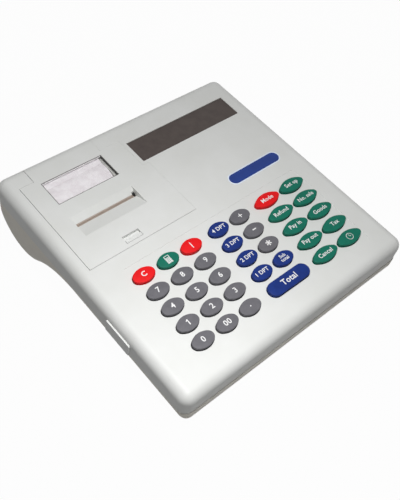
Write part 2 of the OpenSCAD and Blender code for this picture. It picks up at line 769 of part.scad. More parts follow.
module printer_cover() {
  color([0.86, 0.86, 0.83]) in_row() difference() {
    union() {
      intersection() {
        difference() {
          slab(case_w, case_d, part_z, edge_r);
          translate([0, 0, -cover_t])
            slab(case_w - 2 * cover_t, case_d - 2 * cover_t, part_z, edge_r - cover_t);
        }
        cover_zone(0, -hinge_z);
      }
      // Hinge barrel, round below and square above
      translate([0, hinge_y, -hinge_z]) along_x(lip_x0, lip_x1) {
        translate([-barrel_r, 0]) square([2 * barrel_r, barrel_r]);
        for (s = [0, 1])
          mirror([s, 0]) mirror([0, 1]) quarter(barrel_r);
      }
      // Walls of the paper exit
      along_x(exit_x0 - exit_wall, exit_x1 + exit_wall) polygon([
        [exit_y0 - exit_wall, -cover_t + root], [slot_y0 - 1, -exit_foot], [slot_y1 + 1, -exit_foot],
        [exit_y1 + exit_wall, -cover_t + root]
      ]);
      // Rails and lips that carry the latch
      for (s = [[latch_x0 - slide_lap - seat_gap, -1], [latch_x1 + slide_lap + seat_gap, 1]])
        translate([s[0], 0, 0]) mirror([s[1] < 0 ? 1 : 0, 0, 0]) {
          block([0, rail_y[0], -slide_z - slide_t - 1.5], [rail_w, rail_y[1], -cover_t + root]);
          block([-2, rail_y[0], -slide_z - slide_t - 1.5], [0, rail_y[1], -slide_z - slide_t - seat_gap]);
        }
      // Rim round the window
      block([win_x0 - window_lap - 1.2, win_y0 - window_lap - 1.2, -cover_t - 1],
        [win_x1 + window_lap + 1.2, win_y1 + window_lap + 1.2, -cover_t + root]);
    }
    // Paper exit and its slot
    along_x(exit_x0, exit_x1) polygon([
      [exit_y0, 0], [slot_y0, -slot_z], [slot_y0, -exit_foot - past], [slot_y1, -exit_foot - past],
      [slot_y1, -slot_rear_z], [exit_y1, 0], [exit_y1, past], [exit_y0, past]
    ]);
    // Window and the seat of its pane, entered from below
    block([win_x0, win_y0, -cover_t - 2], [win_x1, win_y1, past]);
    block([win_x0 - window_lap, win_y0 - window_lap, -cover_t - 2],
      [win_x1 + window_lap, win_y1 + window_lap, -cover_t + pane_t]);
    // Notch at the right end of the slot, where the paper's edge can be seen
    block([exit_x1 - notch_w, slot_y1 - 1, -exit_foot - past], [exit_x1, slot_y1 + notch_d, 0]);
    block([latch_x0, latch_y0, -cover_t - past], [latch_x1, latch_y1, past]);
    rod(lip_x0 - past, lip_x0 + pin_in + 1, hinge_y, -hinge_z, pin_r + run_gap);
    rod(lip_x1 - pin_in - 1, lip_x1 + past, hinge_y, -hinge_z, pin_r + run_gap);
  }
}

module roll_window() {
  color([0.80, 0.84, 0.84, 0.4]) in_row()
    block([win_x0 - window_lap + seat_gap, win_y0 - window_lap + seat_gap, -cover_t],
      [win_x1 + window_lap - seat_gap, win_y1 + window_lap - seat_gap, -cover_t + pane_t]);
}

module cover_latch() {
  color([0.84, 0.84, 0.81]) in_row() difference() {
    union() {
      block([latch_x0 - slide_lap, cover_y0 + 0.2, -slide_z - slide_t],
        [latch_x1 + slide_lap, slide_y1, -slide_z]);
      block([latch_x0 + side_gap, latch_y0 + side_gap, -slide_z - root], [latch_x1 - side_gap, tab_y1, 0]);
    }
    // Grip grooves across the tab
    for (i = [0:2])
      rod(latch_x0 + 2, latch_x1 - 2, latch_y0 + 1.2 + 0.9 * i, 0.15, 0.35);
  }
}

module tear_bar() {
  pitch = (exit_x1 - exit_x0 - 2) / bar_teeth;
  y0 = slot_y0 + 0.15;
  color([0.55, 0.50, 0.45]) in_row() translate([0, y0 + bar_w, 0]) rotate([90, 0, 0]) linear_extrude(bar_w)
    polygon([
      [exit_x0 + 0.2, -bar_top - bar_h],
      for (i = [0:bar_teeth - 1], e = [[0, tooth_h], [0.5, 0]])
        [exit_x0 + 0.2 + (i + e[0]) * pitch, -bar_top - e[1]],
      [exit_x0 + 0.2 + bar_teeth * pitch, -bar_top - tooth_h],
      [exit_x0 + 0.2 + bar_teeth * pitch, -bar_top - bar_h]
    ]);
}

module paper_roll() {
  bore = spindle_r + run_gap;
  color([0.95, 0.95, 0.94]) in_row() translate([roll_x0, roll_y, -roll_z]) rotate([0, 90, 0])
    rotate_extrude() {
      translate([bore, -0.4]) square([core_r - bore, paper_w + 0.8]);
      translate([core_r, 0]) square([roll_r - core_r, paper_w]);
    }
}

module roll_spindle() {
  color([0.30, 0.30, 0.31]) in_row() {
    rod(cheek_x0 + side_gap, cheek_x1 - side_gap, roll_y, -roll_z, spindle_r);
    rod(cheek_x0 - cheek_t, cheek_x1 + cheek_t, roll_y, -roll_z, journal_r);
  }
}

module roll_cradle() {
  color([0.62, 0.62, 0.61]) in_row() {
    for (x = [cheek_x0 - cheek_t, cheek_x1])
      difference() {
        intersection() {
          union() {
            block([x, roll_y - cheek_w / 2, -3 * belly_r], [x + cheek_t, roll_y + cheek_w / 2, -cheek_top]);
            block([x, cradle_y[0], -3 * belly_r], [x + cheek_t, cradle_y[1], -part_z - 3]);
          }
          rod(x, x + cheek_t, belly_y, -part_z, belly_r - wall - seat_gap);
        }
        rod(x - past, x + cheek_t + past, roll_y, -roll_z, journal_r + run_gap);
        block([x - past, roll_y - journal_r - run_gap, -roll_z],
          [x + cheek_t + past, roll_y + journal_r + run_gap, 0]);
      }
    // Bars that tie the cheeks together, one on each side of the roll
    intersection() {
      for (y = [cradle_y[0], cradle_y[1] - tie_t])
        block([cheek_x0 - root, y, -roll_z - tie_t - tie_h], [cheek_x1 + root, y + tie_t, -roll_z - tie_t]);
      rod(cheek_x0 - cheek_t, cheek_x1 + cheek_t, belly_y, -part_z, belly_r - wall - seat_gap);
    }
  }
}

module printer_frame() {
  color([0.72, 0.73, 0.74]) in_row() difference() {
    union() {
      block([frame_x0, plate_y0, base_z - base_t], [frame_x0 + frame_t, plate_y1, -plate_top]);
      block([frame_x1, pinion_at[0] - motor_r - 1, base_z + 1.5],
        [frame_x1 + frame_t, plate_y1, -plate_top]);
      block([frame_x0, plate_y0, base_z - base_t], [frame_x1 + frame_t, plate_y1, base_z]);
      // Rear tie bar
      block([frame_x0, plate_y1 - 1.2, base_z - base_t], [frame_x1 + frame_t, plate_y1, base_z + 5]);
      rod(frame_x1 + root, gear_x + gear_w + 0.4, idler_at[0], idler_at[1], shaft_r);
    }
    for (x = [frame_x0, frame_x1])
      rod(x - past, x + frame_t + past, platen_y, -platen_z, shaft_r + run_gap);
    rod(frame_x1 - past, frame_x1 + frame_t + past, pinion_at[0], pinion_at[1], bearing_r);
  }
}

module thermal_head() {
  color([0.35, 0.34, 0.33]) in_row() {
    block([frame_x0 + frame_t + seat_gap, head_y, base_z + side_gap],
      [frame_x1 - seat_gap, head_y + head_t, -exit_foot - 2]);
    // Ceramic strip and the row of connector pins behind it
    block([roller_x0 + 2, head_y + head_t - root, -platen_z - 6],
      [roller_x1 - 2, head_y + head_t + 1.4, -platen_z - 2]);
  }
}

module platen_roller() {
  color([0.10, 0.10, 0.10]) in_row() {
    rod(roller_x0, roller_x1, platen_y, -platen_z, platen_r);
    rod(frame_x0 - 1, gear_x + gear_w + 0.6, platen_y, -platen_z, shaft_r);
  }
}

// Spur gear along x with its middle at the origin: n teeth, a tooth's middle at the angle turn
module spur(n, bore, turn) {
  pitch_r = gear_m * n / 2;
  step = 360 / n;
  along_x(0, gear_w) difference() {
    polygon([
      for (i = [0:n - 1], e = [
        [-0.30, pitch_r - 1.25 * gear_m], [-0.235, pitch_r], [-0.12, pitch_r + 0.9 * gear_m],
        [0.12, pitch_r + 0.9 * gear_m], [0.235, pitch_r], [0.30, pitch_r - 1.25 * gear_m]
      ])
        e[1] * [cos(turn + (i + e[0]) * step), sin(turn + (i + e[0]) * step)]
    ]);
    circle(bore);
  }
}

module platen_gear() {
  color([0.90, 0.89, 0.84]) in_row() translate([gear_x, platen_y, -platen_z]) difference() {
    spur(platen_teeth, shaft_r + run_gap / 2, idler_dir);
    for (a = [0:72:359])
      rotate([a, 0, 0]) rod(-past, gear_w + past, gear_m * platen_teeth / 3.6, 0, 1.4);
  }
}

module idler_gear() {
  color([0.90, 0.89, 0.84]) in_row() translate([gear_x, idler_at[0], idler_at[1]])
    spur(idler_teeth, shaft_r + run_gap, idler_turn);
}

module motor_pinion() {
  color([0.78, 0.70, 0.45]) in_row() translate([0, pinion_at[0], pinion_at[1]]) {
    translate([gear_x, 0, 0]) spur(pinion_teeth, motor_shaft / 2, pinion_turn);
    rod(frame_x1 - 6, gear_x + gear_w + 0.4, 0, 0, motor_shaft);
  }
}

module stepper_motor() {
  x1 = frame_x1 - seat_gap;
  color([0.55, 0.56, 0.57]) in_row() translate([0, pinion_at[0], pinion_at[1]]) difference() {
    union() {
      rod(x1 - motor_len, x1 - 1.2, 0, 0, motor_r);
      rod(x1 - 1.2, x1, 0, 0, motor_r - 0.5);
      rod(x1 - root, x1 + 1, 0, 0, bearing_r - seat_gap);
    }
    rod(frame_x1 - 7, frame_x1 + 2, 0, 0, motor_shaft + run_gap);
  }
}

module hinge_pins() {
  color([0.70, 0.71, 0.72]) in_row() {
    rod(lip_x0 - seam - ear_w, lip_x0 + pin_in, hinge_y, -hinge_z, pin_r);
    rod(lip_x1 - pin_in, lip_x1 + seam + ear_w, hinge_y, -hinge_z, pin_r);
  }
}

module display_filter() {
  color([0.16, 0.13, 0.12]) in_row()
    block([disp_x0 - lap + seat_gap, disp_y0 - lap + seat_gap, -disp_dip - filter_t],
      [disp_x1 + lap - seat_gap, disp_y1 + lap - seat_gap, -disp_dip]);
}

module display_module() {
  b = display_board;
  color([0.10, 0.35, 0.25]) in_row() {
    block([b[0], b[1], -tube_z - tube_t - board_t], [b[2], b[3], -tube_z - tube_t]);
    block([b[0] + 3, disp_y0 + 1, -tube_z - tube_t - root], [b[2] - 3, disp_y1 - 1, -tube_z]);
  }
}

module blank_badge() {
  color([0.10, 0.22, 0.58]) in_row() translate([badge_x, badge_y, -badge_t + badge_rise])
    linear_extrude(badge_t) pill(badge_l, badge_w);
}

module keyboard_board() {
  y = [row_1 - 4 * key_pitch - key_d / 2 - 4, row_1 + key_d / 2 + 3];
  color([0.12, 0.38, 0.22]) in_row() {
    block([post_x[0] - 2, y[0], -board_z - board_t], [post_x[3] + 2, y[1], -board_z]);
    // Socket of the flat cable to the main board
    block([-12, y[1] - 8, -board_z - board_t - 2.5], [12, y[1] - 3, -board_z - board_t + root]);
  }
}

module dome_mat() {
  y = [row_1 - 4 * key_pitch - key_d / 2 - 4, row_1 + key_d / 2 + 3];
  color([0.82, 0.82, 0.80]) in_row() difference() {
    union() {
      block([post_x[0] - 2, y[0], -board_z], [post_x[3] + 2, y[1], -mat_z]);
      for (k = KEYS)
        post(k[1], row_1 - k[2] * key_pitch, -mat_z - root, -dome_z, 4);
    }
    post_places() post(0, 0, -board_z - past, -mat_z + past, post_r + side_gap);
  }
}

module main_board() {
  color([0.10, 0.32, 0.20]) in_row() {
    block([main_x[0], main_y[0], main_z], [main_x[1], main_y[1], main_z + board_t]);
    // Processor, memory, clock battery, and the sockets of the keyboard and the printer
    for (c = [
      [-20, -70, 18, 18, 2.6], [14, -70, 26, 12, 3], [48, -80, 14, 14, 5],
      [-30, -26, 24, 6, 6], [20, -26, 30, 6, 6]
    ])
      block([c[0], c[1], main_z + board_t - root], [c[0] + c[2], c[1] + c[3], main_z + board_t + c[4]]);
  }
}

// The feet stand upright in the row's frame, two under the front and two under the belly
module foot_rows() {
  belly_row_y = row_y + belly_y * cos(tilt) + part_z * sin(tilt);
  for (s = [-1, 1], y = [row_y - foot_y, belly_row_y])
    translate([s * foot_x + row_x, y, 0]) children();
}

// The same places while drawing in the case's frame
module foot_places() {
  rotate([-tilt, 0, 0]) translate([-row_x, -row_y, -row_z]) foot_rows() children();
}

module rubber_feet() {
  color([0.12, 0.12, 0.12]) foot_rows() cylinder(r = foot_r, h = foot_h);
}

module case_screws() {
  color([0.70, 0.70, 0.72]) in_row() screw_places() {
    post(0, 0, head_top - head_h, head_top, head_r);
    post(0, 0, head_top - root, screw_tip, screw_r);
  }
}

module port_cover() {
  color([0.80, 0.80, 0.77]) in_row() {
    translate([-hw, (port_y0 + port_y1) / 2, -part_z + port_h / 2]) rotate([0, -90, 0])
      linear_extrude(port_proud) plan(port_h, port_y1 - port_y0, 1.2);
    block([-hw - root, port_y0 + 3 + side_gap, -part_z + side_gap],
      [-hw + wall, port_y1 - 3 - side_gap, -part_z + port_h - 3 - side_gap]);
  }
}

upper_case();
lower_case();
printer_cover();
roll_window();
cover_latch();
tear_bar();
paper_roll();
roll_spindle();
roll_cradle();
printer_frame();
thermal_head();
platen_roller();
platen_gear();
idler_gear();
motor_pinion();
stepper_motor();
hinge_pins();
display_filter();
display_module();
blank_badge();
keyboard_board();
dome_mat();
main_board();
rubber_feet();
case_screws();
port_cover();
for (k = KEYS)
  color(k[4]) in_row() key_cap(k);
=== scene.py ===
"""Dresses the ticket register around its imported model.

Lengths that describe the register are in millimetres in the case's own frame: x to the operator's
right, y to the back, z square to the deck, and z = 0 on the deck. CaseFrame carries them into the
row's frame in metres, in which every Blender object is made.
"""

import logging
import math
from dataclasses import dataclass
from enum import Enum
from typing import Callable, Optional, Sequence, Union

import bmesh
import bpy
import numpy as np
from bpy.types import Material, Node, NodeSocket, NodeTree, Object, Scene
from mathutils import Matrix


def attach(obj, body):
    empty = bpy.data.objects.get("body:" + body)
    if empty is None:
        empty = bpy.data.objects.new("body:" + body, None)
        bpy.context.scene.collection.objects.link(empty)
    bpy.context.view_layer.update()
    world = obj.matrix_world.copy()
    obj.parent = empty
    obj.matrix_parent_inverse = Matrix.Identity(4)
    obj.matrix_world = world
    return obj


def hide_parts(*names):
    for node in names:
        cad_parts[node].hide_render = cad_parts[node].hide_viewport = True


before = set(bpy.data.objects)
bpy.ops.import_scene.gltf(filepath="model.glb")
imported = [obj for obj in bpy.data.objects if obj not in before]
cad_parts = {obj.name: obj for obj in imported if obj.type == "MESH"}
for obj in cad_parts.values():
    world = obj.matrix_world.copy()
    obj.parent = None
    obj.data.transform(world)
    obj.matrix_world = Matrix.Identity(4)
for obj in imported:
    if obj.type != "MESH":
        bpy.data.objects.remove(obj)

LOG = logging.getLogger("ticket_register")
MM = 0.001
WHITE = (1.0, 1.0, 1.0, 1.0)
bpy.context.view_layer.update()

Point = tuple[float, float, float]
Box = tuple[Point, Point]
Faces = list[tuple[int, ...]]
Shape = tuple[np.ndarray, Faces]
Pair = tuple[float, float]
Section = Sequence[Pair]
Sides = tuple[float, float, float, float]
Port = Union[str, int]


# ---- Frame, colour and mesh helpers ----


@dataclass(frozen=True)
class CaseFrame:
    """Where the case's frame stands in the row's frame."""

    tilt_deg: float = 8.0
    shift_mm: Point = (0.65, -2.295863, 48.785574)

    def to_row(self, points: np.ndarray) -> np.ndarray:
        """Turns about x by the tilt, then shifts.

        Args:
            points: Array (n, 3) in the case's frame, in millimetres.

        Returns:
            Array (n, 3) in the row's frame, in metres.
        """
        c, s = math.cos(math.radians(self.tilt_deg)), math.sin(math.radians(self.tilt_deg))
        turn = np.array([[1.0, 0.0, 0.0], [0.0, c, -s], [0.0, s, c]])
        return (points @ turn.T + np.array(self.shift_mm)) * MM


CASE = CaseFrame()


def linear(hex_colour: str) -> tuple[float, float, float, float]:
    """Turns an sRGB hex value such as "#D9D9D4" into linear red, green, blue and alpha 1.

    Args:
        hex_colour: Six hex digits after a hash sign.

    Returns:
        The linear colour.
    """
    srgb = [int(hex_colour[i : i + 2], 16) / 255 for i in (1, 3, 5)]
    r, g, b = (v / 12.92 if v <= 0.04045 else ((v + 0.055) / 1.055) ** 2.4 for v in srgb)
    return (r, g, b, 1.0)


def add_node(
    tree: NodeTree,
    kind: str,
    settings: Optional[dict[Port, object]] = None,
    links: Optional[dict[Port, NodeSocket]] = None,
) -> Node:
    """Adds one node.

    Args:
        tree: The node tree.
        kind: The node's type name.
        settings: Values of its properties, or of its input sockets by name or number.
        links: Output sockets to join to its inputs, by the input's name or number.

    Returns:
        The node.
    """
    node = tree.nodes.new(kind)
    for key, value in (settings or {}).items():
        if isinstance(key, str) and hasattr(node, key):
            setattr(node, key, value)
        else:
            node.inputs[key].default_value = value
    for key, source in (links or {}).items():
        tree.links.new(source, node.inputs[key])
    return node


def new_piece(
    name: str,
    vertices: np.ndarray,
    faces: Faces,
    material: Material,
    sharp_deg: Optional[float] = None,
) -> Object:
    """Makes a mesh object at the origin from points in the case's frame.

    Args:
        name: The object's name.
        vertices: Array (n, 3) in the case's frame, in millimetres.
        faces: Vertex numbers of each face, outward side counter-clockwise.
        material: Its material.
        sharp_deg: It is shaded smooth except over edges that turn by more than this angle, or
            flat all over for None.

    Returns:
        The object.
    """
    smooth = sharp_deg is not None
    mesh = bpy.data.meshes.new(name)
    mesh.from_pydata(CASE.to_row(vertices).tolist(), [], faces)
    mesh.polygons.foreach_set("use_smooth", np.full(len(mesh.polygons), smooth))
    mesh.materials.append(material)
    mesh.update()
    if smooth:
        mesh.set_sharp_from_angle(angle=math.radians(sharp_deg))
    piece = bpy.data.objects.new(name, mesh)
    bpy.context.scene.collection.objects.link(piece)
    return piece


def prism_faces(around: int, first: int = 0) -> Faces:
    """Faces of a prism: its two ends and its sides.

    Args:
        around: Corners of each end. Those of the lower end come first, and both ends run
            counter-clockwise seen from the upper one.
        first: Number of the first corner.

    Returns:
        The faces, outwards.
    """
    low = [first + j for j in range(around)]
    high = [n + around for n in low]
    faces = [tuple(low[::-1]), tuple(high)]
    return faces + [(a, b, b + around, a + around) for a, b in zip(low, low[1:] + low[:1])]


def new_box(name: str, box: Box, material: Material, rear_rise: float = 0.0) -> Object:
    """Makes a box that stands square in the case's frame.

    Args:
        name: The object's name.
        box: Its lowest and its highest corner.
        material: Its material.
        rear_rise: How much higher its rear edges stand.

    Returns:
        The object.
    """
    (x0, y0, z0), (x1, y1, z1) = box
    base = ((x0, y0), (x1, y0), (x1, y1), (x0, y1))
    vertices = np.array([(x, y, z) for z in (z0, z1) for x, y in base])
    vertices[vertices[:, 1] == y1, 2] += rear_rise
    return new_piece(name, vertices, prism_faces(len(base)), material)


def ring_faces(rings: int, around: int, first: int = 0, closed: bool = False) -> Faces:
    """Quads between neighbouring rings of points: face (i, j) joins the points j and j + 1 of
    ring i to the same points of ring i + 1.

    Args:
        rings: Number of rings.
        around: Points in each ring, listed counter-clockwise seen from outside above.
        first: Number of the first ring's first point.
        closed: Whether the last ring is joined to the first as well.

    Returns:
        The faces, outwards if the rings run from the top of a solid down its sides.
    """
    bands = rings if closed else rings - 1
    i, j = np.meshgrid(np.arange(bands), np.arange(around), indexing="ij")
    below, k = (i + 1) % rings, (j + 1) % around
    corners = [i * around + j, below * around + j, below * around + k, i * around + k]
    return [tuple(q) for q in (np.stack(corners, -1).reshape(-1, 4) + first).tolist()]


# ---- Finishes ----


MOSTLY_METAL = 0.5
BASE_OCTAVES = 3.0
PATCH_SHARE = 0.6


@dataclass
class Surface:
    """A material's node tree, its Principled shader and its two tones, sRGB hex."""

    tree: NodeTree
    shader: Node
    tones: tuple[str, str]

    def place(self) -> NodeSocket:
        """Adds the place on the object.

        Returns:
            Its socket.
        """
        return add_node(self.tree, "ShaderNodeTexCoord").outputs["Object"]

    def noise(
        self,
        where: NodeSocket,
        size_mm: float,
        octaves: float = BASE_OCTAVES,
        fine_share: float = 0.5,
    ) -> NodeSocket:
        """Adds a noise.

        Args:
            where: The socket that gives the place.
            size_mm: Size of its features.
            octaves: How many times it repeats, each time finer.
            fine_share: Strength of each finer repeat against the one before.

        Returns:
            The socket of its value, from 0 to 1.
        """
        return add_node(
            self.tree,
            "ShaderNodeTexNoise",
            {"Scale": 1.0 / (size_mm * MM), "Detail": octaves, "Roughness": fine_share},
            {"Vector": where},
        ).outputs["Fac"]

    def bump(self, height: NodeSocket, strength: float, depth_mm: float) -> None:
        """Bumps the surface.

        Args:
            height: The socket that gives the height, from 0 to 1.
            strength: How much of the bump shows.
            depth_mm: Height of the bump.
        """
        settings = {"Strength": strength, "Distance": depth_mm * MM}
        node = add_node(self.tree, "ShaderNodeBump", settings, {"Height": height})
        self.tree.links.new(node.outputs["Normal"], self.shader.inputs["Normal"])

    def vary_roughness(self, span: Pair, share: NodeSocket) -> None:
        """Varies the roughness between two values.

        Args:
            span: The two values.
            share: The socket that gives the way from the first to the second, from 0 to 1.
        """
        settings = {"To Min": span[0], "To Max": span[1]}
        node = add_node(self.tree, "ShaderNodeMapRange", settings, {"Value": share})
        self.tree.links.new(node.outputs["Result"], self.shader.inputs["Roughness"])

    def mottle(self, patch_mm: float, bounds: Pair = (0.35, 0.65)) -> NodeSocket:
        """Varies the base colour between the two tones in soft patches.

        Args:
            patch_mm: Size of a patch.
            bounds: Noise values at which the first and the second tone are reached.

        Returns:
            The socket that gives the place on the object.
        """
        where = self.place()
        noise = self.noise(where, patch_mm, fine_share=PATCH_SHARE)
        ramp = add_node(self.tree, "ShaderNodeValToRGB", None, {"Fac": noise})
        for element, place, tone in zip(ramp.color_ramp.elements, bounds, self.tones):
            element.position = place
            element.color = linear(tone)
        self.tree.links.new(ramp.outputs["Color"], self.shader.inputs["Base Color"])
        return where

    def coat(self, weight: float, roughness: float) -> None:
        """Adds a clear gloss coat.

        Args:
            weight: How much of it shows.
            roughness: Its roughness.
        """
        self.shader.inputs["Coat Weight"].default_value = weight
        self.shader.inputs["Coat Roughness"].default_value = roughness


@dataclass(frozen=True)
class Finish:
    """A material: what it is made of and how its surface was made. Where a second colour is
    given, the first drifts to it in soft patches."""

    name: str
    colour: str
    second: str = ""
    roughness: float = 0.5
    metallic: float = 0.0
    ior: float = 1.5

    def build(self) -> Material:
        """Makes the material: a Principled shader with the values that hold all over it, and
        then the marks of its making.

        Returns:
            The material.
        """
        material = bpy.data.materials.new(self.name)
        material.use_nodes = True
        tree = material.node_tree
        shader = tree.nodes["Principled BSDF"]
        shader.inputs["Base Color"].default_value = linear(self.colour)
        shader.inputs["Roughness"].default_value = self.roughness
        shader.inputs["Metallic"].default_value = self.metallic
        if self.metallic < MOSTLY_METAL:
            shader.inputs["IOR"].default_value = self.ior
        material.diffuse_color = linear(self.colour)
        self.mark(Surface(tree, shader, (self.colour, self.second)))
        return material

    def mark(self, surface: Surface) -> None:
        """Adds the marks of its making.

        Args:
            surface: Its surface.
        """
        raise NotImplementedError


@dataclass(frozen=True)
class MouldedPlastic(Finish):
    """Injection-moulded ABS from a spark-eroded mould: an even fine grain that breaks the gloss,
    drawn at a size that the render can show, and a faint change of tone where the melt flowed."""

    grain_mm: float = 0.45
    depth_mm: float = 0.02
    strength: float = 0.35
    octaves: float = 2.0
    fine_share: float = 0.55
    patch_mm: float = 45.0
    sheen_change: float = 0.08

    def mark(self, surface: Surface) -> None:
        """Adds the patches, the grain and the change of sheen.

        Args:
            surface: Its surface.
        """
        where = surface.mottle(self.patch_mm)
        grain = surface.noise(where, self.grain_mm, self.octaves, self.fine_share)
        surface.bump(grain, self.strength, self.depth_mm)
        change = self.sheen_change
        surface.vary_roughness((self.roughness - change, self.roughness + change), grain)


@dataclass(frozen=True)
class KeyPlastic(MouldedPlastic):
    """The plastic of the keys, with little shine and smaller patches."""

    ior: float = 1.3
    patch_mm: float = 6.0


@dataclass(frozen=True)
class PrintedInk(Finish):
    """Pad-printed two-part ink: opaque, a little uneven where the pad lifted."""

    patch_mm: float = 0.8

    def mark(self, surface: Surface) -> None:
        """Adds the faint unevenness.

        Args:
            surface: Its surface.
        """
        surface.mottle(self.patch_mm)


@dataclass(frozen=True)
class ClearPane(Finish):
    """Polycarbonate sheet: clear, glossy, with the faint grey of its thickness."""

    cover: float = 0.06
    coat: Pair = (0.4, 0.03)
    smear_mm: float = 14.0
    octaves: float = 4.0
    span: Pair = (0.03, 0.14)

    def mark(self, surface: Surface) -> None:
        """Makes the pane see-through, coats it so that it keeps its gloss, and smears it.

        Args:
            surface: Its surface.
        """
        surface.shader.inputs["Alpha"].default_value = self.cover
        surface.coat(*self.coat)
        smears = surface.noise(surface.place(), self.smear_mm, self.octaves)
        surface.vary_roughness(self.span, smears)


@dataclass(frozen=True)
class SmokedFilter(Finish):
    """Smoke-brown acrylic over a fluorescent display: dark, glossy, with a fine dust on it."""

    patch_mm: float = 9.0
    coat: Pair = (0.1, 0.12)
    dust_mm: float = 0.8
    span: Pair = (0.32, 0.5)

    def mark(self, surface: Surface) -> None:
        """Adds the patches, the gloss coat and the dust.

        Args:
            surface: Its surface.
        """
        where = surface.mottle(self.patch_mm)
        surface.coat(*self.coat)
        surface.vary_roughness(self.span, surface.noise(where, self.dust_mm))


class Lay(Enum):
    """Which way the marks of rolling or grinding run: how tightly the noise is packed along each
    axis. It is drawn out into lines along an axis with a low value."""

    ACROSS = (1.0, 0.02, 1.0)
    ALONG = (0.02, 1.0, 1.0)
    ROUND_X = (1.0, 0.02, 0.02)


@dataclass(frozen=True)
class WorkedMetal(Finish):
    """Rolled, ground or turned metal: fine lines one way, which stretch the highlight."""

    metallic: float = 1.0
    lay: Lay = Lay.ALONG
    patch_mm: float = 12.0
    line_mm: float = 0.35
    depth_mm: float = 0.01
    strength: float = 0.5
    octaves: float = 2.0

    def mark(self, surface: Surface) -> None:
        """Adds a soft change of tone and the lines.

        Args:
            surface: Its surface.
        """
        where = surface.mottle(self.patch_mm)
        settings = {"Scale": self.lay.value}
        drawn = add_node(surface.tree, "ShaderNodeMapping", settings, {"Vector": where})
        lines = surface.noise(drawn.outputs["Vector"], self.line_mm, self.octaves)
        surface.bump(lines, self.strength, self.depth_mm)


@dataclass(frozen=True)
class ThermalPaper(Finish):
    """Coated thermal paper: a smooth white face with a trace of fibre cloud."""

    cloud_mm: float = 6.0
    cloud_bounds: Pair = (0.4, 0.6)
    fibre_mm: float = 0.6
    depth_mm: float = 0.01
    strength: float = 0.2

    def mark(self, surface: Surface) -> None:
        """Adds the fibre cloud and a fine unevenness.

        Args:
            surface: Its surface.
        """
        where = surface.mottle(self.cloud_mm, self.cloud_bounds)
        surface.bump(surface.noise(where, self.fibre_mm), self.strength, self.depth_mm)


@dataclass(frozen=True)
class CircuitLaminate(Finish):
    """Glass-epoxy board under solder resist: straight tracks show through as lighter lines."""

    track: str = "#2C7A4B"
    pitch_mm: float = 2.54
    track_mm: float = 0.25
    pitches: int = 9
    depth_mm: float = 0.03
    strength: float = 0.4

    def mark(self, surface: Surface) -> None:
        """Adds the tracks, laid out as courses of the track pitch.

        Args:
            surface: Its surface.
        """
        courses = add_node(
            surface.tree,
            "ShaderNodeTexBrick",
            {
                "Scale": 1.0,
                "Mortar Size": self.track_mm * MM,
                "Brick Width": self.pitches * self.pitch_mm * MM,
                "Row Height": self.pitch_mm * MM,
                "Color1": linear(self.colour),
                "Color2": linear(self.second),
                "Mortar": linear(self.track),
            },
            {"Vector": surface.place()},
        )
        surface.tree.links.new(courses.outputs["Color"], surface.shader.inputs["Base Color"])
        surface.bump(courses.outputs["Fac"], self.strength, self.depth_mm)


class Tone(Enum):
    """The colours of the keys, as the record's slots name them."""

    RED = "red"
    GREEN = "green"
    BLUE = "blue"
    GREY = "grey"


RED, GREEN, BLUE, GREY = Tone


